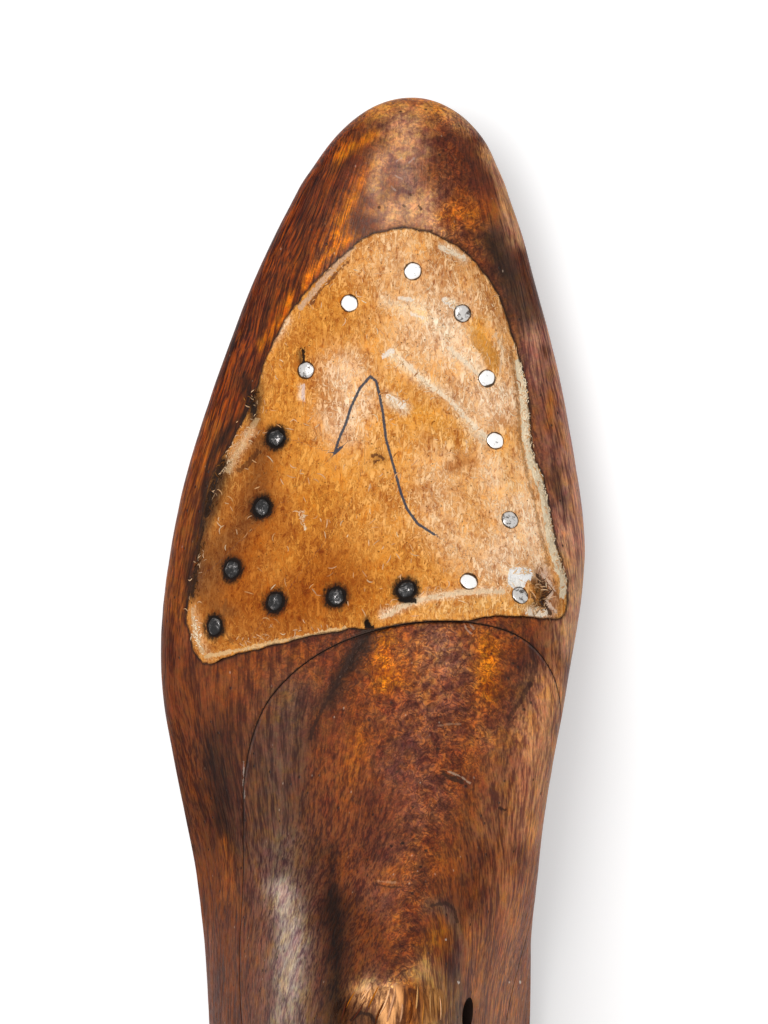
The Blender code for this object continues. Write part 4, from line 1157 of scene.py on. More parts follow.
# Small marks on the wood, as (tone, strength, width in mm, path of picture points)
WOOD_MARKS = (
    ("C8A88E", 0.5, 0.24, ((448, 772), (458, 775), (470, 783))),
    ("2A1810", 0.8, 0.9, ((444, 774), (452, 778), (462, 782))),
    ("C8A080", 0.25, 0.24, ((438, 726), (448, 724), (461, 724))),
    ("C8A890", 0.45, 0.22, ((463, 622), (467, 630), (472, 634))),
    ("C8A890", 0.4, 0.2, ((468, 621), (474, 629))),
    ("26100C", 0.75, 0.75, ((363, 632), (346, 666), (332, 692), (316, 722), (310, 738))),
    ("2E120E", 0.65, 1.4, ((531, 646), (536, 664), (530, 684))),
    ("2E120E", 0.65, 1.0, ((530, 684), (520, 702), (509, 718))),
    ("1E0C08", 0.95, 0.5, ((391, 846), (391.6, 846.4))),
    ("1E0C08", 0.95, 0.45, ((402, 843), (402.6, 843.2))),
    ("2A130C", 0.7, 0.6, ((432, 905), (446, 903), (454, 909), (457, 922))),
    ("2E150D", 0.65, 0.35, ((377, 884), (388, 887), (400, 887))),
    ("D8A078", 0.35, 0.3, ((378, 881), (398, 883))),
    ("2E150D", 0.6, 0.35, ((413, 874), (424, 872))),
    ("22100B", 0.8, 0.6, ((500, 808), (505, 810))),
    # Four tiny pale dots: painted glints
    ("F4E8DA", 0.8, 0.18, ((458, 982), (458.5, 983))),
    ("F4E8DA", 0.8, 0.18, ((520, 982), (520.5, 983))),
    ("F4E8DA", 0.6, 0.16, ((509, 982), (509.5, 982.6))),
    ("F4E8DA", 0.6, 0.16, ((446, 939), (446.4, 939.6))),
    ("4A1E10", 0.7, 0.5, ((372, 984), (374, 1000), (366, 1012))),
    ("4A1E10", 0.7, 0.4, ((386, 992), (382, 1010), (376, 1020))),
    ("3A160C", 0.7, 0.5, ((410, 990), (412, 1006), (408, 1023))),
    ("24100A", 0.85, 0.6, ((351, 1020), (360, 1013), (370, 1015), (376, 1023))),
    ("1C0D08", 0.75, 0.45, ((419, 206), (421, 209))),
    ("1C0D08", 0.7, 0.5, ((404, 206), (405, 207))),
    ("EAD6C6", 0.35, 0.22, ((243.6, 762), (243.8, 798))),
    ("D0B4A8", 0.4, 0.3, ((397, 161), (402, 158))),
    ("D0B4A8", 0.4, 0.25, ((409, 163), (414, 158))),
    ("D0B4A8", 0.35, 0.3, ((396, 176), (402, 179))),
    ("D0B4A8", 0.3, 0.25, ((391, 186), (395, 190))),
    ("3A2A30", 0.6, 0.5, ((394, 229), (403, 227))),
)


def wood_material():
    """Oiled wood: grain that follows the shape, stains, wear, small marks (a few of them painted
    glints) and painted shade beside the leather.
    """
    sh = Shader("aged_wood")
    mm = sh.millimetres()
    place = sh.split(mm)
    grain = sh.join(sh.attribute("flow"), place[1], place[2])
    drift = sh.noise(sh.scaled(mm, 0.045, 0.02, 0.045), 1.0, out="Color")
    drift = sh.scaled(sh.vector("SUBTRACT", drift, (0.5, 0.5, 0.5)), 9.0, 0.0, 9.0)
    bent = sh.vector("ADD", grain, drift)
    dashes = sh.noise(sh.scaled(bent, 0.95, 0.13, 0.95), 1.0, 3.0, 0.66)
    hairs = sh.noise(sh.scaled(bent, 1.9, 0.24, 1.8), 1.0, 2.0, 0.6)
    streaks = sh.noise(sh.scaled(bent, 0.42, 0.03, 0.42), 1.0, 3.0, 0.55)
    worms = sh.lines(mm, 0.55, 0.085, 1.3)
    grooves = sh.lines(sh.vector("ADD", mm, (31.0, 7.0, 0.0)), 0.50, 0.060, 1.3)
    mottle = sh.noise(mm, 0.9, 3.0, 0.7, 0.8)
    hue = sh.noise(sh.vector("ADD", mm, (0.0, 90.0, 0.0)), 0.55, 3.0, 0.7, 0.5, out="Color")
    blots = sh.noise(mm, 0.33, 3.0, 0.55, 0.5)
    patches = sh.noise(sh.vector("ADD", mm, (70.0, 0.0, 0.0)), 0.17, 2.0, 0.55, 0.4)
    clouds = sh.noise(mm, 0.085, 3.0)
    facing = sh.split(sh.add("TexCoord", {}).outputs["Normal"])
    side = sh.step(sh.math("ABSOLUTE", facing[0]), 0.3, 0.7)
    top = sh.math("SUBTRACT", 1.0, side)
    upward = sh.step(facing[2], 0.0, 0.3)
    on_top = sh.total(sh.about(mottle, 1.2), sh.about(blots, 1.2), sh.about(dashes, 1.0))
    on_side = sh.total(sh.about(dashes, 1.8), sh.about(hairs, 2.2), sh.about(streaks, 1.5))
    between = sh.times(side, sh.math("SUBTRACT", on_side, on_top))
    calm = sh.times(sh.step(place[1], 88.0, 100.0), sh.step(place[0], -9.0, -3.0),
                    sh.step(place[0], 17.0, 11.0))
    tone = sh.attribute("tone", "Color")
    rich = sh.step(sh.split(tone)[1], 0.14, 0.42, 1.0, 0.35)
    varied = sh.times(rich, sh.total(on_top, between, sh.about(clouds, 0.5)))
    light = sh.step(sh.total(0.5, varied), 0.0, 1.0)
    base = sh.mix(light, sh.tinted(tone, (0.40, 0.30, 0.38)), sh.tinted(tone, (1.52, 1.56, 1.40)))
    hue = sh.vector("ADD", sh.scaled(hue, 0.6, 0.6, 0.8), (0.70, 0.70, 0.60))
    base = sh.mix(rich, base, hue, "MULTIPLY")
    amber = sh.times(sh.step(patches, 0.50, 0.64, 0.0, 0.65),
                    sh.total(rich, sh.times(calm, -0.5)))
    base = sh.tinted(base, (1.22, 1.08, 0.58), amber)
    purple = sh.times(sh.step(blots, 0.47, 0.34, 0.0, 0.7), top, rich)
    base = sh.tinted(base, (0.82, 0.68, 0.92), purple)
    red = sh.step(patches, 0.48, 0.36, 0.0, 0.7)
    base = sh.tinted(base, (0.95, 0.74, 0.80), red)
    strokes = sh.times(sh.step(place[0], 4.0, -10.0), sh.step(place[1], 52.0, 78.0))
    present = sh.times(sh.total(sh.times(top, 0.85), 0.15),
                       sh.total(1.0, sh.times(strokes, -0.7)),
                       sh.total(1.0, sh.times(calm, -0.6)))
    bright = sh.times(worms, present, sh.step(blots, 0.38, 0.54, 0.4, 1.0))
    base = sh.tinted(base, (1.95, 1.9, 1.3), bright)
    base = sh.tinted(base, (0.48, 0.36, 0.36), sh.times(grooves, present, 0.85))
    drawn = sh.noise(sh.scaled(bent, 1.15, 0.13, 1.15), 1.0, 3.0, 0.62, 0.5)
    golden, sunk = sh.step(drawn, 0.52, 0.57), sh.step(drawn, 0.48, 0.42)
    base = sh.tinted(base, (1.85, 1.55, 0.5), sh.times(golden, strokes))
    base = sh.tinted(base, (0.36, 0.22, 0.15), sh.times(sunk, strokes))
    specks = sh.step(sh.spots(mm, 0.26), 0.12, 0.05)
    base = sh.mix(sh.times(specks, 0.8), base, colour("1C0E0A"))
    dust = sh.times(sh.step(sh.spots(sh.scaled(mm, 1.0, 0.6, 1.0), 0.40), 0.09, 0.05),
                    sh.step(clouds, 0.5, 0.62, 0.0, 0.4))
    base = sh.mix(dust, base, colour("D9BCA4"))
    raw = sh.attribute("raw")
    torn = sh.noise(sh.scaled(mm, 0.9, 0.11, 0.9), 1.0, 4.0, 0.7, 0.4)
    splinters = sh.mix(sh.step(torn, 0.38, 0.62), sh.tinted(tone, (0.30, 0.20, 0.16)),
                       sh.tinted(tone, (1.50, 1.30, 0.95)))
    ragged_raw = sh.step(sh.total(raw, sh.about(torn, 1.2)), 0.35, 0.6)
    base = sh.mix(ragged_raw, base, splinters)
    for mark in WOOD_MARKS:
        ends = [wood_point(point) for point in mark[3]]
        base = sh.marked(base, mm, mark, ends, sh.about(mottle, 1.2), upward)
    seam = sh.math("ABSOLUTE", sh.attribute("seam"))
    ragged = sh.total(seam, sh.about(mottle, 0.7), sh.times(side, 0.08))
    base = sh.mix(sh.step(ragged, 0.38, 0.10, 0.0, 0.85), base, colour("1E0F09"))
    # Dark just outside the leather's edge: grime along it, and painted shade at the foot of the
    # raised leather
    edge = sh.total(sh.attribute("leather_edge"), sh.about(mottle, 1.2))
    base = sh.mix(sh.step(edge, -0.8, -0.1, 0.0, 0.85), base, colour("1E100B"))
    rough = sh.step(sh.total(mottle, sh.about(dashes, 0.8)), 0.3, 0.75, 0.28, 0.48)
    rough = sh.total(rough, sh.times(raw, 0.25))
    height = sh.total(sh.times(dashes, 0.8), sh.times(bright, 0.25),
                      sh.times(specks, -0.6), sh.step(seam, 0.6, 0.1, 0.0, -1.4),
                      sh.times(ragged_raw, sh.about(torn, 5.0)))
    lean = sh.add("LayerWeight", {"Blend": 0.5}).outputs["Facing"]
    gloss = sh.total(sh.step(lean, 0.15, 0.50, 0.22, 0.02), sh.step(lean, 0.90, 0.99, 0.0, 0.10))
    return sh.finish(base, rough, sh.bump(height, 0.17, 0.8), Specular_IOR_Level=gloss,
                     Specular_Tint=(1.0, 0.80, 0.66, 1))


def cut_wood_material():
    """Sawn wood inside the scoop and the holes, darker towards its rims with grime and painted
    shade, and dark all through the hook hole as painted shade.
    """
    sh = Shader("sawn_wood")
    mm = sh.millimetres()
    fibres = sh.noise(sh.scaled(mm, 1.5, 0.08, 1.5), 1.0, 4.0, 0.6)
    clouds = sh.noise(mm, 0.09, 3.0, 0.5)
    saw = sh.noise(sh.scaled(mm, 0.02, 1.4, 0.6), 1.0, 2.0, 0.5)
    base = sh.mix(sh.step(fibres, 0.3, 0.7), colour("6E4326"), colour("B07C50"))
    base = sh.mix(sh.step(clouds, 0.4, 0.65, 0.0, 0.7), base, colour("54301C"))
    # Darker near the outer surface and in the hook hole: grime and painted shade in the seam's gap
    # and the hole
    rim = sh.total(sh.attribute("depth"), sh.about(clouds, 3.0))
    base = sh.mix(sh.step(rim, 4.5, 0.8), base, colour("1C0E08"))
    height = sh.total(fibres, sh.times(saw, 1.5))
    return sh.finish(base, sh.step(clouds, 0.3, 0.7, 0.6, 0.8), sh.bump(height, 0.2, 0.8),
                     Specular_IOR_Level=0.1)


# Leather tones
TAN = colour("DA9444")
LIGHT_TAN = colour("E4B07C")
PEACH = colour("F4CBA2")
GOLD = colour("DC9430")
HONEY = colour("C27622")
RUST_TAN = colour("9C5214")
UMBER = colour("7A4820")
SOOT = colour("241812")
STRIP = colour("E0A255")
IVORY = colour("FFEED4")

LEATHER_STROKES = (
    (LIGHT_TAN, 0.75, 40, ((400, 262), (440, 290), (420, 320))),
    (HONEY, 0.6, 40, ((330, 310), (290, 380), (280, 440))),
    (PEACH, 0.85, 34, ((450, 330), (470, 350), (494, 400))),
    (PEACH, 0.8, 20, ((345, 372), (352, 400), (340, 425))),
    (PEACH, 0.8, 26, ((505, 470), (520, 530), (500, 560))),
    (GOLD, 0.85, 11, ((478, 326), (490, 356), (494, 372))),
    (GOLD, 0.7, 16, ((404, 405), (425, 420), (455, 440))),
    (TAN, 0.7, 30, ((410, 440), (400, 480))),
    (LIGHT_TAN, 0.7, 26, ((440, 470), (440, 510), (455, 545))),
    (GOLD, 0.6, 12, ((505, 440), (512, 480), (520, 520))),
    (HONEY, 0.75, 46, ((320, 500), (300, 560), (360, 590))),
    (RUST_TAN, 0.98, 48, ((250, 530), (228, 600), (290, 606), (330, 580))),
    (RUST_TAN, 0.8, 22, ((262, 440), (256, 500))),
    (UMBER, 0.85, 15, ((260, 446), (258, 480), (246, 520), (216, 560), (206, 590))),
    (HONEY, 0.5, 18, ((400, 560), (440, 575))),
    (CREAM, 0.60, 5, ((392, 352), (415, 374), (440, 392), (468, 420), (488, 440))),
    (CREAM, 0.45, 4, ((455, 352), (480, 372), (505, 392))),
    (CREAM, 0.50, 7, ((385, 300), (420, 310), (450, 335))),
    (PEACH, 0.7, 5, ((268, 345), (284, 322))),
    (UMBER, 0.6, 4, ((320, 272), (296, 296))),
    (CREAM, 0.75, 4, ((440, 246), (463, 256))),
    (CREAM, 0.85, 4, ((446, 300), (462, 312))),
    (CREAM, 0.8, 6, ((388, 396), (404, 406))),
    (PEACH, 0.7, 9, ((520, 500), (535, 540), (545, 570))),
    (LIGHT_TAN, 0.7, 5, ((229, 468), (238, 448), (252, 430))),
    (LIGHT_TAN, 0.4, 5, ((193, 612), (200, 640), (208, 656))),
    (SOOT, 0.95, 8, ((250, 384), (254, 418))),
    (SOOT, 0.9, 9, ((224, 462), (209, 510))),
    (SOOT, 0.85, 7, ((206, 516), (198, 560), (192, 596))),
    (UMBER, 0.6, 7, ((208, 540), (202, 580))),
    (STRIP, 0.9, 8, ((430, 612), (480, 607), (530, 606))),
    (PEACH, 0.9, 4, ((384, 616), (404, 606), (424, 598), (462, 590), (500, 592))),
    (MAUVE, 0.7, 10, ((545, 572), (552, 600), (545, 618))),
    (SOOT, 0.65, 6, ((534, 578), (542, 598), (532, 606))),
    (CREAM, 0.95, 5, ((510, 574), (528, 572))),
    (PEACH, 0.9, 5, ((530, 611), (544, 613))),
    (SOOT, 0.8, 3, ((303, 350), (304, 362))),
    (PEACH, 0.8, 3, ((303, 388), (303, 399))),
    (SOOT, 0.8, 3, ((400, 600), (414, 600))),
    (SOOT, 0.9, 4, ((367, 622), (371, 630))),
    (UMBER, 0.6, 6, ((374, 458), (382, 460))),
    # This stroke beside the lower-left tack is a painted shadow
    (UMBER, 0.7, 9, ((214, 608), (232, 612))),
    (RUST_TAN, 0.6, 7, ((452, 470), (476, 462))),
)

PEN_PATH = (
    (341.6, 447), (334.5, 453.6), (339, 439), (346, 423), (351, 407), (360, 388), (370.4, 376.3),
    (376, 381), (379.5, 395), (383, 413.5), (386, 439), (392.5, 462.5), (401, 493), (407, 509),
    (418, 524), (433.6, 534),
)


# Marks on the leather, as (tone, strength, width in mm, path of picture points)
LEATHER_MARKS = (
    ("96602C", 0.5, 0.7, ((512, 352), (517, 385), (520, 440), (530, 486), (540, 530), (548, 565))),
    ("FFEAC6", 0.95, 1.6, ((519, 362), (524, 400), (526, 438), (531, 462), (543, 490), (548, 526),
                           (555, 560), (563, 578), (563, 594))),
    ("7A4828", 0.85, 0.5, ((347, 262), (334, 276), (320, 291), (309, 306))),
    ("DDB08A", 0.95, 1.1, ((353, 247), (339, 262), (325, 278), (311, 294), (301, 307))),
    ("FFE8C8", 0.8, 0.9, ((400, 357), (427, 384), (445, 396), (468, 420), (488, 438))),
    ("FFE8C8", 0.75, 0.7, ((450, 348), (465, 362), (478, 374))),
    ("F0D0AC", 0.6, 0.6, ((500, 372), (503, 350), (495, 335))),
    ("D08A34", 0.55, 3.2, ((478, 338), (489, 352), (493, 362))),
    ("F2CDA8", 0.6, 0.4, ((466, 452), (467, 440), (476, 435), (484, 441))),
    ("FFFDFA", 0.97, 3.0, ((515, 575), (526, 574))),
    ("FFFAF2", 0.95, 1.9, ((512, 583), (520, 584))),
    ("2A1A14", 0.85, 0.9, ((537, 576), (547, 590), (541, 603), (550, 613))),
    ("2A1A14", 0.7, 0.6, ((531, 592), (536, 606))),
    ("E8C8AE", 0.8, 0.7, ((543, 574), (553, 590), (547, 602), (556, 612))),
    ("FFEBD2", 0.95, 1.7, ((531, 612), (543, 613))),
    ("FBE6C8", 0.8, 0.9, ((440, 247), (450, 252), (463, 257))),
    ("FFF0DC", 0.9, 0.9, ((445, 300), (454, 306), (463, 312))),
    ("FFF0DC", 0.75, 0.7, ((399, 298), (413, 300))),
    ("FFF0DC", 0.75, 0.7, ((412, 314), (423, 318))),
    ("FFF3E4", 0.8, 1.0, ((384, 356), (392, 351))),
    ("FFF0DC", 0.85, 1.2, ((389, 397), (403, 405))),
    ("F4D4AC", 0.85, 0.9, ((384, 617), (398, 608), (412, 602), (424, 599), (450, 594), (480, 591),
                           (503, 592))),
    ("E8C090", 0.75, 0.9, ((192, 610), (195, 632), (202, 652))),
    ("F0C890", 0.75, 0.8, ((205, 657), (250, 648), (300, 638), (345, 629))),
    ("8A5428", 0.6, 0.6, ((226, 600), (222, 626), (232, 642))),
    ("E4BC88", 0.55, 1.3, ((229, 470), (236, 454), (244, 444))),
    ("E4BC88", 0.5, 1.0, ((247, 436), (257, 420))),
    ("1E140F", 0.85, 1.2, ((249, 388), (252, 402), (254, 414))),
    ("1E140F", 0.85, 1.3, ((221, 462), (211, 494), (206, 514))),
    ("1E140F", 0.8, 0.8, ((203, 522), (197, 556), (192, 596))),
    ("4A2A18", 0.6, 1.2, ((240, 470), (250, 462), (258, 452))),
    ("1A120E", 0.97, 0.8, ((303, 349), (304, 362))),
    ("F0CFC0", 0.9, 0.7, ((303, 386), (303, 400))),
    ("FFE8C4", 0.85, 0.22, ((304, 514), (303, 522), (306, 530))),
    ("120D0A", 0.97, 0.9, ((401, 600), (414, 601))),
    ("120D0A", 0.97, 1.3, ((366, 623), (371, 629))),
    ("5A3220", 0.8, 0.45, ((372, 456), (378, 455), (383, 459))),
    ("5A3220", 0.8, 0.35, ((374, 462), (380, 460))),
)

# How far rust has spread in the leather from the middle of a rusted tack
HALO_RADIUS = 3.3


def leather_tone(at, normals):
    """The leather's tones at these points."""
    base = np.tile(TAN, (len(at), 1))
    return laid_tones(at, normals, LEATHER_STROKES, base, 301)


def tack_seat(x, ahead):
    """The middle of a tack's head and the way it faces."""
    s = SCOOP_FRONT - ahead
    normal = on_grid(WOOD_NORMALS, x, s)
    normal /= np.linalg.norm(normal)
    return on_grid(WOOD_POINTS, x, s) + normal * (LEATHER_TOPSIDE - TACK_SINK), normal


def dress_leather(obj):
    """The tones and distances that the leather's shader reads."""
    mesh = obj.data
    at = vertices_of(mesh)
    put_colour(mesh, "tone", leather_tone(at, normals_of(mesh)))
    plan = picture_point(at)
    put_value(mesh, "ink", np.clip(path_distance(plan, PEN_PATH), -20, 20))
    far = LENGTH / 2 - at[:, 1]
    side = at[:, 0]
    put_value(mesh, "leather_edge", edge_distance(np.stack([side, far], axis=1)))
    ring = np.full(len(at), 9.0)
    halo = np.zeros(len(at))
    for x, ahead, diameter, finish in TACKS.values():
        seat, _ = tack_seat(x, ahead)
        radius = np.linalg.norm(at - seat, axis=1)
        ring = np.minimum(ring, radius - diameter / 2)
        if finish == "rusted":
            halo = np.maximum(halo, np.exp(-((radius / HALO_RADIUS) ** 4)))
    put_value(mesh, "tack_ring", ring)
    put_value(mesh, "halo", halo)


def leather_material():
    """Worn leather: nap, flecks, marks, dirt, rust round the tacks, painted shade at the tack
    heads' rims, a pen line.
    """
    sh = Shader("worn_leather")
    mm = sh.millimetres()
    place = sh.split(mm)
    tone = sh.attribute("tone", "Color")
    nap = sh.noise(mm, 0.62, 4.0, 0.72, 1.0)
    grit = sh.noise(mm, 2.2, 2.0, 0.6, 0.6)
    blotch = sh.noise(mm, 0.16, 4.0, 0.62)
    strewn = sh.noise(mm, 0.30, 3.0, 0.7)
    flecks = sh.noise(sh.turned(mm, -40, 1.15, 0.36, 1.0), 1.0, 2.0, 0.6, 0.6)
    cross = sh.noise(sh.turned(mm, 38, 1.15, 0.36, 1.0), 1.0, 2.0, 0.6, 0.6)
    upright = sh.noise(sh.scaled(mm, 1.2, 0.7, 1.0), 1.0, 2.0, 0.6, 0.8)
    curls = sh.lines(sh.turned(mm, -38, 1.4, 0.8, 1.0), 0.42, 0.034, 1.5)
    clouds = sh.noise(mm, 0.05, 3.0, 0.6)
    light = sh.total(0.5, sh.about(nap, 2.2), sh.about(blotch, 1.6), sh.about(clouds, 1.6),
                     sh.about(grit, 0.8))
    base = sh.mix(sh.step(light, 0.0, 1.0), sh.tinted(tone, (0.82, 0.65, 0.52)),
                  sh.tinted(tone, (1.38, 1.42, 1.42)))
    base = sh.tinted(base, (1.05, 0.88, 0.52), sh.step(blotch, 0.52, 0.68, 0.0, 0.6))
    dark = sh.most(sh.step(flecks, 0.42, 0.35), sh.step(cross, 0.41, 0.34))
    dark = sh.times(dark, sh.step(strewn, 0.62, 0.42, 0.35, 0.85))
    base = sh.tinted(base, (0.60, 0.43, 0.34), dark)
    pale = sh.most(sh.step(flecks, 0.57, 0.63), sh.step(cross, 0.58, 0.64),
                   sh.step(upright, 0.59, 0.66, 0.0, 0.7), sh.times(curls, 0.8))
    pale = sh.times(pale, sh.step(strewn, 0.36, 0.58, 0.35, 0.95),
                    sh.step(place[0], -38.0, -12.0, 0.85, 1.0))
    bright = sh.step(sh.split(tone)[1], 0.20, 0.42)
    fleck = sh.mix(bright, sh.tinted(tone, (1.62, 1.85, 2.3)), sh.tinted(tone, (1.5, 1.7, 1.95)))
    fleck = sh.mix(sh.times(bright, 0.25), fleck, colour("FFEFD6"))
    base = sh.mix(pale, base, fleck)
    pits = sh.step(sh.spots(mm, 0.62), 0.12, 0.05, 0.0, 0.7)
    base = sh.mix(pits, base, colour("5A3218"))
    ragged = sh.total(sh.about(nap, 1.6), sh.about(flecks, 1.2), sh.about(grit, 0.6))
    for mark in LEATHER_MARKS:
        ends = leather_point(np.array(mark[3], float)) * (1, -1) + (0, LENGTH / 2)
        base = sh.marked(base, mm, mark, ends, ragged)
    edge = sh.total(sh.attribute("leather_edge"), sh.about(nap, 1.0))
    base = sh.mix(sh.step(edge, 0.40, 0.05, 0.0, 0.7), base, colour("4A2C1A"))
    halo = sh.total(sh.attribute("halo"), sh.about(nap, 1.1), sh.about(flecks, 0.8),
                    sh.about(grit, 0.6))
    base = sh.mix(sh.step(halo, 0.12, 0.85, 0.0, 0.97), base, colour("16100E"))
    # A thin dark ring where each tack's head meets the leather: painted shade
    ring = sh.total(sh.attribute("tack_ring"), sh.about(grit, 0.3))
    base = sh.mix(sh.step(ring, 0.30, 0.12, 0.0, 0.9), base, colour("1A1411"))
    ink = sh.total(sh.math("ABSOLUTE", sh.attribute("ink")), sh.about(grit, 1.6))
    base = sh.mix(sh.step(ink, 1.75, 0.95, 0.0, 0.92), base, colour("2C4254"))
    height = sh.total(nap, sh.times(pale, 0.5), sh.times(grit, 0.5),
                      sh.times(pits, -0.6))
    return sh.finish(base, sh.step(blotch, 0.3, 0.7, 0.72, 0.9), sh.bump(height, 0.3, 1.0),
                     Specular_IOR_Level=0.1)


FIBRE_TONES = {
    "pale": (CREAM, PEACH, PEACH, LIGHT_TAN),
    "mixed": (CREAM, PEACH, LIGHT_TAN, RUST_TAN),
    "cream": (IVORY, IVORY, IVORY, CREAM),
    "grimy": (SOOT, SOOT, UMBER, PEACH),
}
# Where fibres stand thickest, as (number, spread in picture points, length, tones, picture path)
FIBRE_TUFTS = (
    (26, 3, 1.3, "pale", ((303, 303), (320, 287), (336, 272), (354, 259))),
    (60, 3, 1.4, "pale", ((520, 366), (524, 420), (532, 470), (546, 530), (560, 590))),
    (420, 1.7, 1.1, "cream", ((518, 362), (523, 400), (525, 438), (530, 462), (542, 490),
                              (547, 526), (554, 560), (562, 578), (562, 594))),
    (120, 5, 1.2, "pale", ((231, 470), (241, 449), (254, 428))),
    (24, 4, 1.5, "grimy", ((250, 404), (256, 392))),
    (60, 4, 1.5, "grimy", ((211, 512), (219, 482), (231, 460))),
    (40, 4, 1.5, "grimy", ((197, 606), (199, 570), (205, 535))),
    (40, 5, 1.5, "pale", ((197, 612), (202, 636), (211, 648))),
    (110, 4, 1.1, "cream", ((200, 620), (203, 640), (210, 652), (218, 650))),
    (30, 3, 1.3, "pale", ((216, 648), (262, 640), (330, 626))),
    (50, 6, 2.2, "grimy", ((536, 580), (546, 600), (538, 610))),
    (30, 4, 1.6, "pale", ((512, 575), (528, 573))),
    (24, 3, 1.5, "pale", ((530, 609), (542, 610))),
    (60, 3, 1.9, "pale", ((384, 614), (404, 605), (424, 598), (462, 591), (500, 592))),
    (20, 4, 1.5, "pale", ((440, 250), (460, 260))),
    (24, 4, 1.5, "pale", ((447, 300), (461, 312))),
    (40, 5, 1.6, "pale", ((400, 356), (440, 392), (486, 438))),
    (24, 5, 1.5, "pale", ((388, 396), (404, 406))),
    (16, 2, 1.9, "pale", ((304, 513), (306, 530))),
)
FIBRES_EVERYWHERE = 320
FIBRE_SIDES = 4
FIBRE_RINGS = 5


def leather_surface(x, s):
    """Points on the leather, or on the wood beside it, and the wood's normals."""
    normal = on_grid(WOOD_NORMALS, x, s)
    wood = on_grid(WOOD_POINTS, x, s)
    shape = x.shape
    edge = edge_distance(np.stack([x.ravel(), s.ravel()], axis=1)).reshape(shape)
    high = on_grid(LEATHER_HIGH, x, s) * smooth(edge, -0.5, 0.25)
    return wood + normal * high[..., None], normal


def strands(middle, turn, length, bend, radius, rise, place):
    """Bent tapered strands lying on a surface, as points (strand, ring, side, 3)."""
    t = np.linspace(0, 1, FIBRE_RINGS)[None, :]
    along_way = np.stack([np.cos(turn), np.sin(turn)], axis=1)[:, None, :]
    across = np.stack([-np.sin(turn), np.cos(turn)], axis=1)[:, None, :]
    reach = ((t - 0.5) * length[:, None])[..., None]
    sag = (bend[:, None] * ((t - 0.5) ** 2 - 0.08) * length[:, None])[..., None]
    flat = middle[:, None, :] + along_way * reach + across * sag
    line, normal = place(flat[..., 0], flat[..., 1])
    line = line + normal * (rise[:, None] * np.sin(math.pi * t) - 0.03)[..., None]
    way = np.gradient(line, axis=1)
    way /= np.linalg.norm(way, axis=2, keepdims=True)
    side = np.cross(normal, way)
    thick = (radius[:, None] * (0.25 + 0.75 * np.sin(math.pi * t) ** 0.6))[..., None]
    angle = np.arange(FIBRE_SIDES) * 2 * math.pi / FIBRE_SIDES
    around = [line + side * thick * math.cos(a) + normal * 0.4 * thick * math.sin(a)
              for a in angle]
    return np.stack(around, axis=2)


def strand_mesh(name, tubes):
    """Closed tubes as one mesh."""
    count = len(tubes)
    per = FIBRE_RINGS * FIBRE_SIDES
    ring = np.array(grid_faces(FIBRE_RINGS, FIBRE_SIDES, True))
    caps = np.array([tuple(range(FIBRE_SIDES))[::-1], tuple(range(per - FIBRE_SIDES, per))])
    each = np.concatenate([ring, caps])
    faces = (each[None] + np.arange(count)[:, None, None] * per).reshape(-1, 4)
    mesh = mesh_from(name, tubes.reshape(-1, 3), faces.tolist())
    turn_outward(mesh)
    mesh.shade_smooth()
    return mesh


def along_path(path, share):
    """Points of a picture path at these shares of its length."""
    path = np.asarray(path, float)
    gone = np.concatenate([[0], np.cumsum(np.hypot(*np.diff(path, axis=0).T))])
    at = share * gone[-1]
    return np.stack([np.interp(at, gone, path[:, 0]), np.interp(at, gone, path[:, 1])], axis=1)


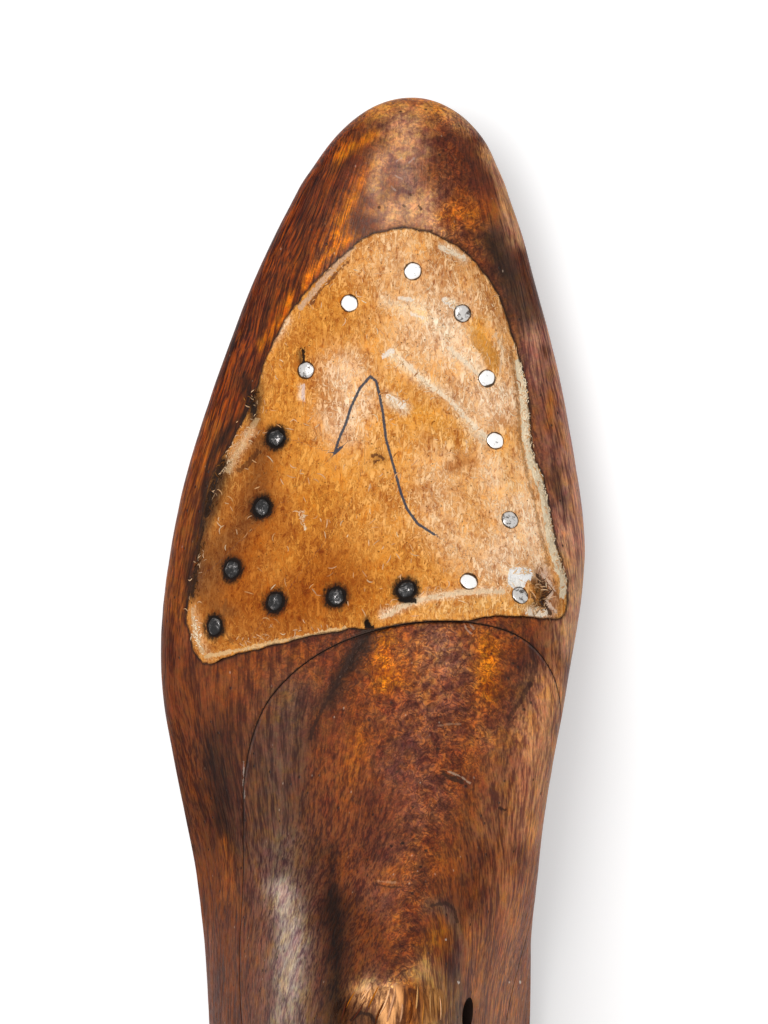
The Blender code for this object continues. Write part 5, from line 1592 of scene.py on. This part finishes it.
def make_fibres():
    """Loose fibres standing from the leather's nap and from its torn edges."""
    rng = np.random.default_rng(5)
    low, high = LEATHER_LOOP.min(axis=0), LEATHER_LOOP.max(axis=0)
    spread = low + rng.uniform(0, 1, (3 * FIBRES_EVERYWHERE, 2)) * (high - low)
    spread = spread[edge_distance(spread) > 0.4][:FIBRES_EVERYWHERE]
    n = len(spread)
    drift = layered_noise(np.stack([*spread.T, np.zeros(n)], axis=1), 14.0, 91, 2)
    groups = [(spread, math.radians(60) + 2.2 * drift + rng.normal(0, 0.6, n),
               rng.uniform(0.9, 2.4, n), rng.uniform(0.10, 0.16, n),
               rng.choice(["mixed", "pale"], n, p=[0.2, 0.8]))]
    for count, loose, length, kind, path in FIBRE_TUFTS:
        plan = along_path(path, rng.uniform(0, 1, count)) + rng.normal(0, loose, (count, 2))
        groups.append((leather_point(plan), rng.uniform(0, math.pi, count),
                       length * rng.uniform(0.5, 1.1, count), rng.uniform(0.10, 0.17, count),
                       np.full(count, kind)))
    middle, turn, length, radius, kind = (np.concatenate(part) for part in zip(*groups))
    reach = np.abs(np.sin(turn)) * length / 2
    side = middle[:, 0]
    seam = seam_line(np.clip(side, -SEAM_SIDE, SEAM_SIDE))
    limit = np.where(side > -SEAM_SIDE, seam - 0.6, 130.0)
    clear = middle[:, 1] + reach < limit
    for x, ahead, diameter, _ in TACKS.values():
        gap = np.hypot(middle[:, 0] - x, middle[:, 1] - (SCOOP_FRONT - ahead))
        clear &= gap > diameter / 2 + 0.35 * length
    middle, turn, length, radius, kind = (
        part[clear] for part in (middle, turn, length, radius, kind))
    n = len(middle)
    bend = rng.normal(0, 0.6, n)
    rise = rng.uniform(0.0, 0.22, n)
    tubes = strands(middle, turn, length, bend, radius, rise, leather_surface)
    obj = add_object("leather_fibres", strand_mesh("leather_fibres", tubes))
    local = leather_tone(tubes.mean(axis=(1, 2)), np.tile((0.0, 0.0, 1.0), (n, 1)))
    own = np.array([FIBRE_TONES[k][i] for k, i in zip(kind, rng.integers(0, 4, n))])
    share = rng.uniform(0.3, 0.9, n)[:, None]
    share[kind == "cream"] = 1
    tone = own * share + local * (1 - share)
    put_colour(obj.data, "tone", np.repeat(tone, FIBRE_RINGS * FIBRE_SIDES, axis=0))
    return obj


def fibre_material(name, roughness):
    """Thin fibres of leather or wood, in their own tones."""
    sh = Shader(name)
    mm = sh.millimetres()
    tone = sh.attribute("tone", "Color")
    nap = sh.noise(mm, 2.6, 3.0, 0.6)
    base = sh.mix(sh.step(nap, 0.35, 0.65), sh.tinted(tone, (0.92, 0.88, 0.80)),
                  sh.tinted(tone, (1.10, 1.08, 1.04)))
    rough = sh.step(nap, 0.3, 0.7, roughness - 0.1, roughness + 0.1)
    return sh.finish(base, rough, sh.bump(nap, 0.04, 0.5), Specular_IOR_Level=0.05)


# Splinters of the sawn top's front edge, as (radius, tone, picture points of both ends)
SPLINTERS = (
    (0.30, WORN, ((396, 990), (387, 1022))), (0.24, WORN, ((403, 1002), (400, 1024))),
    (0.22, RAW, ((391, 988), (380, 1016))), (0.22, RAW, ((372, 986), (360, 1002))),
    (0.20, AMBER, ((380, 984), (368, 1008))), (0.20, AMBER, ((356, 990), (346, 1008))),
    (0.22, OLIVE, ((418, 984), (416, 1012))), (0.20, OLIVE, ((430, 990), (430, 1016))),
    (0.22, MAROON, ((366, 1000), (352, 1022))), (0.20, RUSSET, ((385, 1000), (374, 1024))),
    (0.20, RUSSET, ((412, 1002), (410, 1024))), (0.20, HONEY_WOOD, ((424, 1000), (422, 1026))),
    (0.20, RAW, ((440, 996), (441, 1020))), (0.20, MAROON, ((347, 1000), (341, 1022))),
)

# How deep the splinters' middles lie in the wood
SPLINTER_SINK = 0.25


def block_surface(x, s):
    """Points on the block's worn top and their upward normals."""
    shape = x.shape
    high = np.array([wood_height(np.array([a]), np.array([b]))[0, 0]
                     for a, b in zip(x.ravel(), s.ravel())]).reshape(shape)
    z = sawn_off(high, cone_top_height(s), s) - SPLINTER_SINK
    normal = np.zeros(shape + (3,))
    normal[..., 2] = 1.0
    return np.stack([x, LENGTH / 2 - s, z], axis=-1), normal


def make_splinters():
    """Fibres of wood lifted where the top was sawn off."""
    rng = np.random.default_rng(11)
    radius, tone, paths = (np.array(column) for column in zip(*SPLINTERS))
    ends = np.array([[wood_point(point) for point in path] for path in paths])
    ends[..., 1] = LENGTH / 2 - ends[..., 1]
    a, b = ends[:, 0], ends[:, 1]
    way = b - a
    n = len(SPLINTERS)
    tubes = strands((a + b) / 2, np.arctan2(way[:, 1], way[:, 0]), np.hypot(*way.T),
                    rng.normal(0, 0.15, n), radius, rng.uniform(0.05, 0.2, n), block_surface)
    obj = add_object("top_splinters", strand_mesh("top_splinters", tubes))
    put_colour(obj.data, "tone", np.repeat(tone, FIBRE_RINGS * FIBRE_SIDES, axis=0))
    return obj


def metal_material(name, bright, dark, grime, roughness, metallic=1.0):
    """Metal that is bright where it wears and dark where dirt or rust sits."""
    sh = Shader(name)
    mm = sh.millimetres()
    wear = sh.noise(mm, 0.75, 4.0, 0.7, 0.8)
    fine = sh.noise(mm, 3.0, 2.0, 0.6)
    mask = sh.step(sh.total(wear, sh.about(fine, 0.3)), grime - 0.06, grime + 0.06)
    base = sh.mix(mask, colour(dark), colour(bright))
    rough = sh.step(mask, 0.0, 1.0, roughness + 0.25, roughness)
    shine = sh.step(mask, 0.0, 1.0, 0.4 * metallic, metallic)
    height = sh.total(wear, sh.times(fine, 0.4))
    return sh.finish(base, rough, sh.bump(height, 0.12, 0.6), Metallic=shine)


# A tack's head as (share of its radius, height), and its square shank as (half width, height)
TACK_HEAD = (
    (0.22, 0.30), (0.42, 0.28), (0.60, 0.235), (0.76, 0.17), (0.88, 0.09), (0.96, 0.0),
    (1.0, -0.12), (0.97, -0.35), (0.8, -0.55),
)
TACK_SHANK = ((0.75, -0.6), (0.7, -2.0), (0.2, -9.0))
TACK_POINT = -9.2


def tack_mesh(name, x, ahead, diameter, finish, seed):
    """A hand-driven tack: a hammered head on a tapered square shank."""
    rng = np.random.default_rng(seed)
    seat, normal = tack_seat(x, ahead)
    normal = Vector(normal) + Vector(rng.normal(0, 0.05, 3))
    turn = normal.normalized().to_track_quat("Z", "Y").to_matrix()
    around, radius = TACK_FACETS, diameter / 2
    profile = TACK_HEAD
    if finish == "rusted":
        radius *= 0.86
        profile = [(r, z * 1.7 + 0.02 if z > 0 else z) for r, z in profile]
    angle = np.linspace(0, 2 * math.pi, around, endpoint=False)
    out = (1 + 0.045 * np.sin(2 * angle + rng.uniform(0, 6))
           + 0.03 * np.sin(5 * angle + rng.uniform(0, 6)))
    rings = [np.stack([radius * r * out * np.cos(angle), radius * r * out * np.sin(angle),
                       np.full(around, z)], axis=1) for r, z in profile]
    for half, z in TACK_SHANK:
        square = half / np.maximum(np.abs(np.cos(angle)), np.abs(np.sin(angle)))
        level = np.full(around, z)
        rings.append(np.stack([square * np.cos(angle), square * np.sin(angle), level], axis=1))
    points = np.array(rings).reshape(-1, 3)
    crown = profile[0][1] + 0.01
    points = np.concatenate([points, [(0, 0, crown), (0, 0, TACK_POINT)]])
    dents = layered_noise(points + 50 * seed, 1.1, 500 + seed, 2)
    rough = 0.26 if finish == "rusted" else 0.08
    points[:, 2] += np.where(points[:, 2] > -0.2, rough * dents, 0)
    count = len(rings)
    faces = [f[::-1] for f in grid_faces(count, around, True)]
    top, tip = len(points) - 2, len(points) - 1
    faces += [(top, (i + 1) % around, i)[::-1] for i in range(around)]
    low = (count - 1) * around
    faces += [(tip, low + i, low + (i + 1) % around)[::-1] for i in range(around)]
    placed_points = np.array([turn @ Vector(p) for p in points]) + seat
    mesh = mesh_from(name, placed_points, faces)
    turn_outward(mesh)
    sharpen(mesh, 50)
    return mesh


def turned_mesh(name, rows, around, middle):
    """A closed turned body from (radii around, height) rows, standing at a middle point."""
    angle = np.linspace(0, 2 * math.pi, around, endpoint=False)
    grid = np.array([np.stack([r * np.cos(angle), r * np.sin(angle), np.full(around, z)], axis=1)
                     for r, z in rows])
    mesh = mesh_from(name, grid.reshape(-1, 3) + middle, tube_faces(len(rows), around))
    turn_outward(mesh)
    sharpen(mesh, 35)
    return mesh


# The screw's head and plain shank as (radius, height), and its thread
SCREW_SHANK = (
    (4.3, 0.06), (4.62, 0.0), (4.8, -0.14), (4.8, -0.42), (4.68, -0.55), (3.6, -1.7),
    (2.6, -2.8), (2.4, -3.2), (2.4, -10.0), (2.4, -20.0), (2.38, -27.0),
)
THREAD_TOP = -27.6
THREAD_END = -62.4
THREAD_ROW = 0.16
THREAD_PITCH = 2.4
THREAD_DEPTH = 0.65


def screw_rows(around):
    """The radii of a countersunk wood screw with a helical thread, from its head down."""
    angle = np.linspace(0, 1, around, endpoint=False)
    rows = [(np.full(around, r), z) for r, z in SCREW_SHANK]
    for z in np.arange(THREAD_TOP, THREAD_END, -THREAD_ROW):
        turn = (-z / THREAD_PITCH - angle) % 1
        crest = np.clip(1 - np.abs(turn - 0.5) / 0.28, 0, 1) ** 0.8
        begin = smooth(-z, -THREAD_TOP, 31.0)
        tip = smooth(-z, 63.6, 57.0)
        core = (2.38 - 0.63 * begin) * (0.12 + 0.88 * tip)
        rows.append((core + THREAD_DEPTH * crest * begin * (0.15 + 0.85 * tip), z))
    rows.append((np.full(around, 0.25), -63.4))
    rows.append((np.full(around, 0.12), -63.9))
    return rows


def make_screw():
    """The block's screw: turned, with a thread and a slot."""
    middle = np.array([SCREW_X, LENGTH / 2 - SCREW_AT, SCREW_Z])
    mesh = turned_mesh("block_screw", screw_rows(SCREW_FACETS), SCREW_FACETS, middle)
    screw = add_object("block_screw_turned", mesh)
    slot = prism("slot", ((-6, -0.6), (6, -0.6), (6, 0.6), (-6, 0.6)), -1.4, 1.0)
    cut(screw, [placed(slot, SCREW_X, SCREW_AT, SCREW_Z)])
    sharpen(screw.data, 35)
    return screw


def make_pin():
    """The locating pin: a turned pin with shallow grooves."""
    middle = np.array([PIN_X, LENGTH / 2 - PIN_AT, PIN_Z])
    half = [(1.75, 15.0), (1.85, 14.98), (2.35, 14.45), (2.47, 14.3), (2.5, 14.0)]
    levels = half + [(2.5 - 0.03 * (i % 2), 12.0 - 3.0 * i) for i in range(9)]
    levels += [(r, -z) for r, z in half[::-1]]
    rows = [(np.full(PIN_FACETS, r), z) for r, z in levels]
    mesh = turned_mesh("locating_pin", rows, PIN_FACETS, middle)
    return add_object("locating_pin_turned", mesh)


def make_thimble():
    """The jack thimble: a tube with a beaten rim."""
    middle = np.array([THIMBLE_X, LENGTH / 2 - THIMBLE_AT, THIMBLE_Z])
    angle = np.linspace(0, 2 * math.pi, THIMBLE_FACETS, endpoint=False)
    levels = [-1.5, -6, -14, -22, -30, -38]
    loop = [(6.7, -0.04), (6.95, 0.0), (7.3, -0.06), (7.5, -0.22), (7.55, -0.5)]
    loop += [(7.55, z) for z in levels]
    loop += [(7.5, -42.8), (7.3, -43.0), (6.6, -43.0), (6.38, -42.8)]
    loop += [(6.35, z) for z in levels[::-1]] + [(6.4, -0.5), (6.5, -0.2)]
    dent = 0.05 * np.sin(3 * angle + 1) + 0.03 * np.sin(7 * angle)
    rings = []
    for r, z in loop:
        beaten = dent * math.exp(z / 1.5)
        rings.append(np.stack([r * np.cos(angle), r * np.sin(angle), z - np.abs(beaten)], axis=1))
    points = np.array(rings).reshape(-1, 3) + middle
    faces = [[v % len(points) for v in face]
             for face in grid_faces(len(rings) + 1, THIMBLE_FACETS, True)]
    mesh = mesh_from("jack_thimble", points, faces)
    turn_outward(mesh)
    sharpen(mesh, 35)
    return add_object("jack_thimble_tube", mesh)


def show(obj, body, node, *materials):
    """Give a new piece its materials, its body and the CAD node it stands for."""
    obj.data.materials.clear()
    for material in materials:
        obj.data.materials.append(material)
    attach(obj, body)
    if node:
        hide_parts(node)


def mark_sawn_faces(obj, grown):
    """The second material goes on the faces of the scooped cut and of the hook hole."""
    mesh = obj.data
    at = vertices_of(mesh)
    on_cut = np.abs(off_scoop(LENGTH / 2 - at[:, 1], at[:, 2]) - grown) < 0.08
    in_hole = np.abs(off_hook_axis(at) - HOOK_HOLE_RADIUS) < 0.1
    for face in mesh.polygons:
        if all(in_hole[v] for v in face.vertices):
            face.material_index = 1
        elif all(on_cut[v] for v in face.vertices):
            s, z = LENGTH / 2 - face.center.y / MM, face.center.z / MM
            way = Vector((0, SCOOP_AXIS[0] - s, z - SCOOP_AXIS[1])).normalized()
            if abs(way.dot(face.normal)) > 0.985:
                face.material_index = 1


def make_wood():
    """The body and the block, cut apart by the scoop."""
    body = add_object("last_wood", last_mesh("last_wood"))
    block = add_object("instep_wood", body.data.copy())
    cut(body, [scoop_cutter(SEAM_GAP / 2), hole("pin_hole"), hole("screw_hole"),
               hole("thimble_hole")])
    cut(block, [scoop_cutter(-SEAM_GAP / 2)], "INTERSECT")
    cut(block, [hole("pin_hole"), hole("screw_hole"), hole("screw_recess"), hook_hole()])
    wood, sawn = wood_material(), cut_wood_material()
    for obj, name, node, grown in ((body, "last", "last_body", SEAM_GAP / 2),
                                   (block, "block", "instep_block", -SEAM_GAP / 2)):
        show(obj, name, node, wood, sawn)
        mark_sawn_faces(obj, grown)
        sharpen(obj.data, 42)
        dress_wood(obj, 101)


# Light, chosen so that a colour renders about as it is written
FLOOR_HALF = 4.0
FLOOR_BELOW = 0.0004
FLOOR_GLOW = 0.40
LAMP_AT = (-0.34, 0.21, 1.18)
LAMP_TOWARDS = (0.0, 0.03, 0.03)
LAMP_SIZE = 0.6
LAMP_POWER = 9.5
ROOM_LIGHT = 0.44


def make_stage():
    """A plain white floor, a large soft lamp high on the left, and an even room, in metres."""
    mesh = bpy.data.meshes.new("floor")
    low = CAD_BOX[0].z - FLOOR_BELOW
    corner = ((-1, -1), (1, -1), (1, 1), (-1, 1))
    square = [(FLOOR_HALF * x, FLOOR_HALF * y, low) for x, y in corner]
    mesh.from_pydata(square, [], [(0, 1, 2, 3)])
    floor = add_object("floor", mesh)
    sh = Shader("white_floor")
    glow = sh.times(sh.background_share(), FLOOR_GLOW)
    plain = {"Base Color": (0.8, 0.8, 0.8, 1), "Roughness": 0.9, "Specular IOR Level": 0.0,
             "Emission Color": (1, 1, 1, 1), "Emission Strength": glow}
    for name, value in plain.items():
        sh.put(sh.surface.inputs[name], value)
    floor.data.materials.append(sh.material)

    lamp = bpy.data.lights.new("key", "AREA")
    lamp.shape = "SQUARE"
    lamp.size = LAMP_SIZE
    lamp.energy = LAMP_POWER
    key = add_object("key", lamp)
    key.location = LAMP_AT
    key.rotation_euler = (Vector(LAMP_TOWARDS) - key.location).to_track_quat("-Z", "Y").to_euler()

    world = bpy.data.worlds.new("room")
    world.use_nodes = True
    bpy.context.scene.world = world
    nodes = Nodes(world.node_tree)
    background = nodes.tree.nodes["Background"].inputs
    nodes.put(background["Color"], (1, 1, 1, 1))
    strength = nodes.add("Mix", {0: nodes.background_share(), 2: ROOM_LIGHT, 3: 1.0})
    nodes.put(background["Strength"], strength.outputs[0])


def make_camera():
    """A camera that looks straight down."""
    data = bpy.data.cameras.new("camera")
    data.lens = CAMERA_LENS
    data.sensor_width = 36.0
    camera = placed(add_object("camera", data), CAMERA_SIDE, CAMERA_FROM_TOE, CAMERA_HEIGHT)
    bpy.context.scene.camera = camera


def main():
    make_camera()
    make_wood()
    leather = make_leather()
    show(leather, "last", "leather_buildup", leather_material())
    sharpen(leather.data, 50)
    dress_leather(leather)
    fibres = make_fibres()
    show(fibres, "last", None, fibre_material("leather_fibres", 0.8))
    splinters = make_splinters()
    show(splinters, "block", None, fibre_material("wood_splinters", 0.6))
    finishes = {
        "bright": metal_material("bright_steel", "FBFAF8", "6E6862", 0.37, 0.28),
        "grey": metal_material("grey_steel", "CCC8C4", "4E4640", 0.44, 0.32),
        "rusted": metal_material("rusted_iron", "7A7674", "0E0B0B", 0.59, 0.20, 0.9),
    }
    for seed, (name, (x, ahead, diameter, finish)) in enumerate(TACKS.items()):
        tack = add_object(name + "_head", tack_mesh(name, x, ahead, diameter, finish, seed))
        show(tack, "last", name, finishes[finish])
    steel = metal_material("old_steel", "8F8B86", "4A3A30", 0.47, 0.34)
    show(make_screw(), "screw", "block_screw", steel)
    show(make_pin(), "last", "locating_pin", steel)
    show(make_thimble(), "last", "jack_thimble", steel)
    make_stage()
    bpy.context.scene.view_settings.view_transform = "Standard"


main()
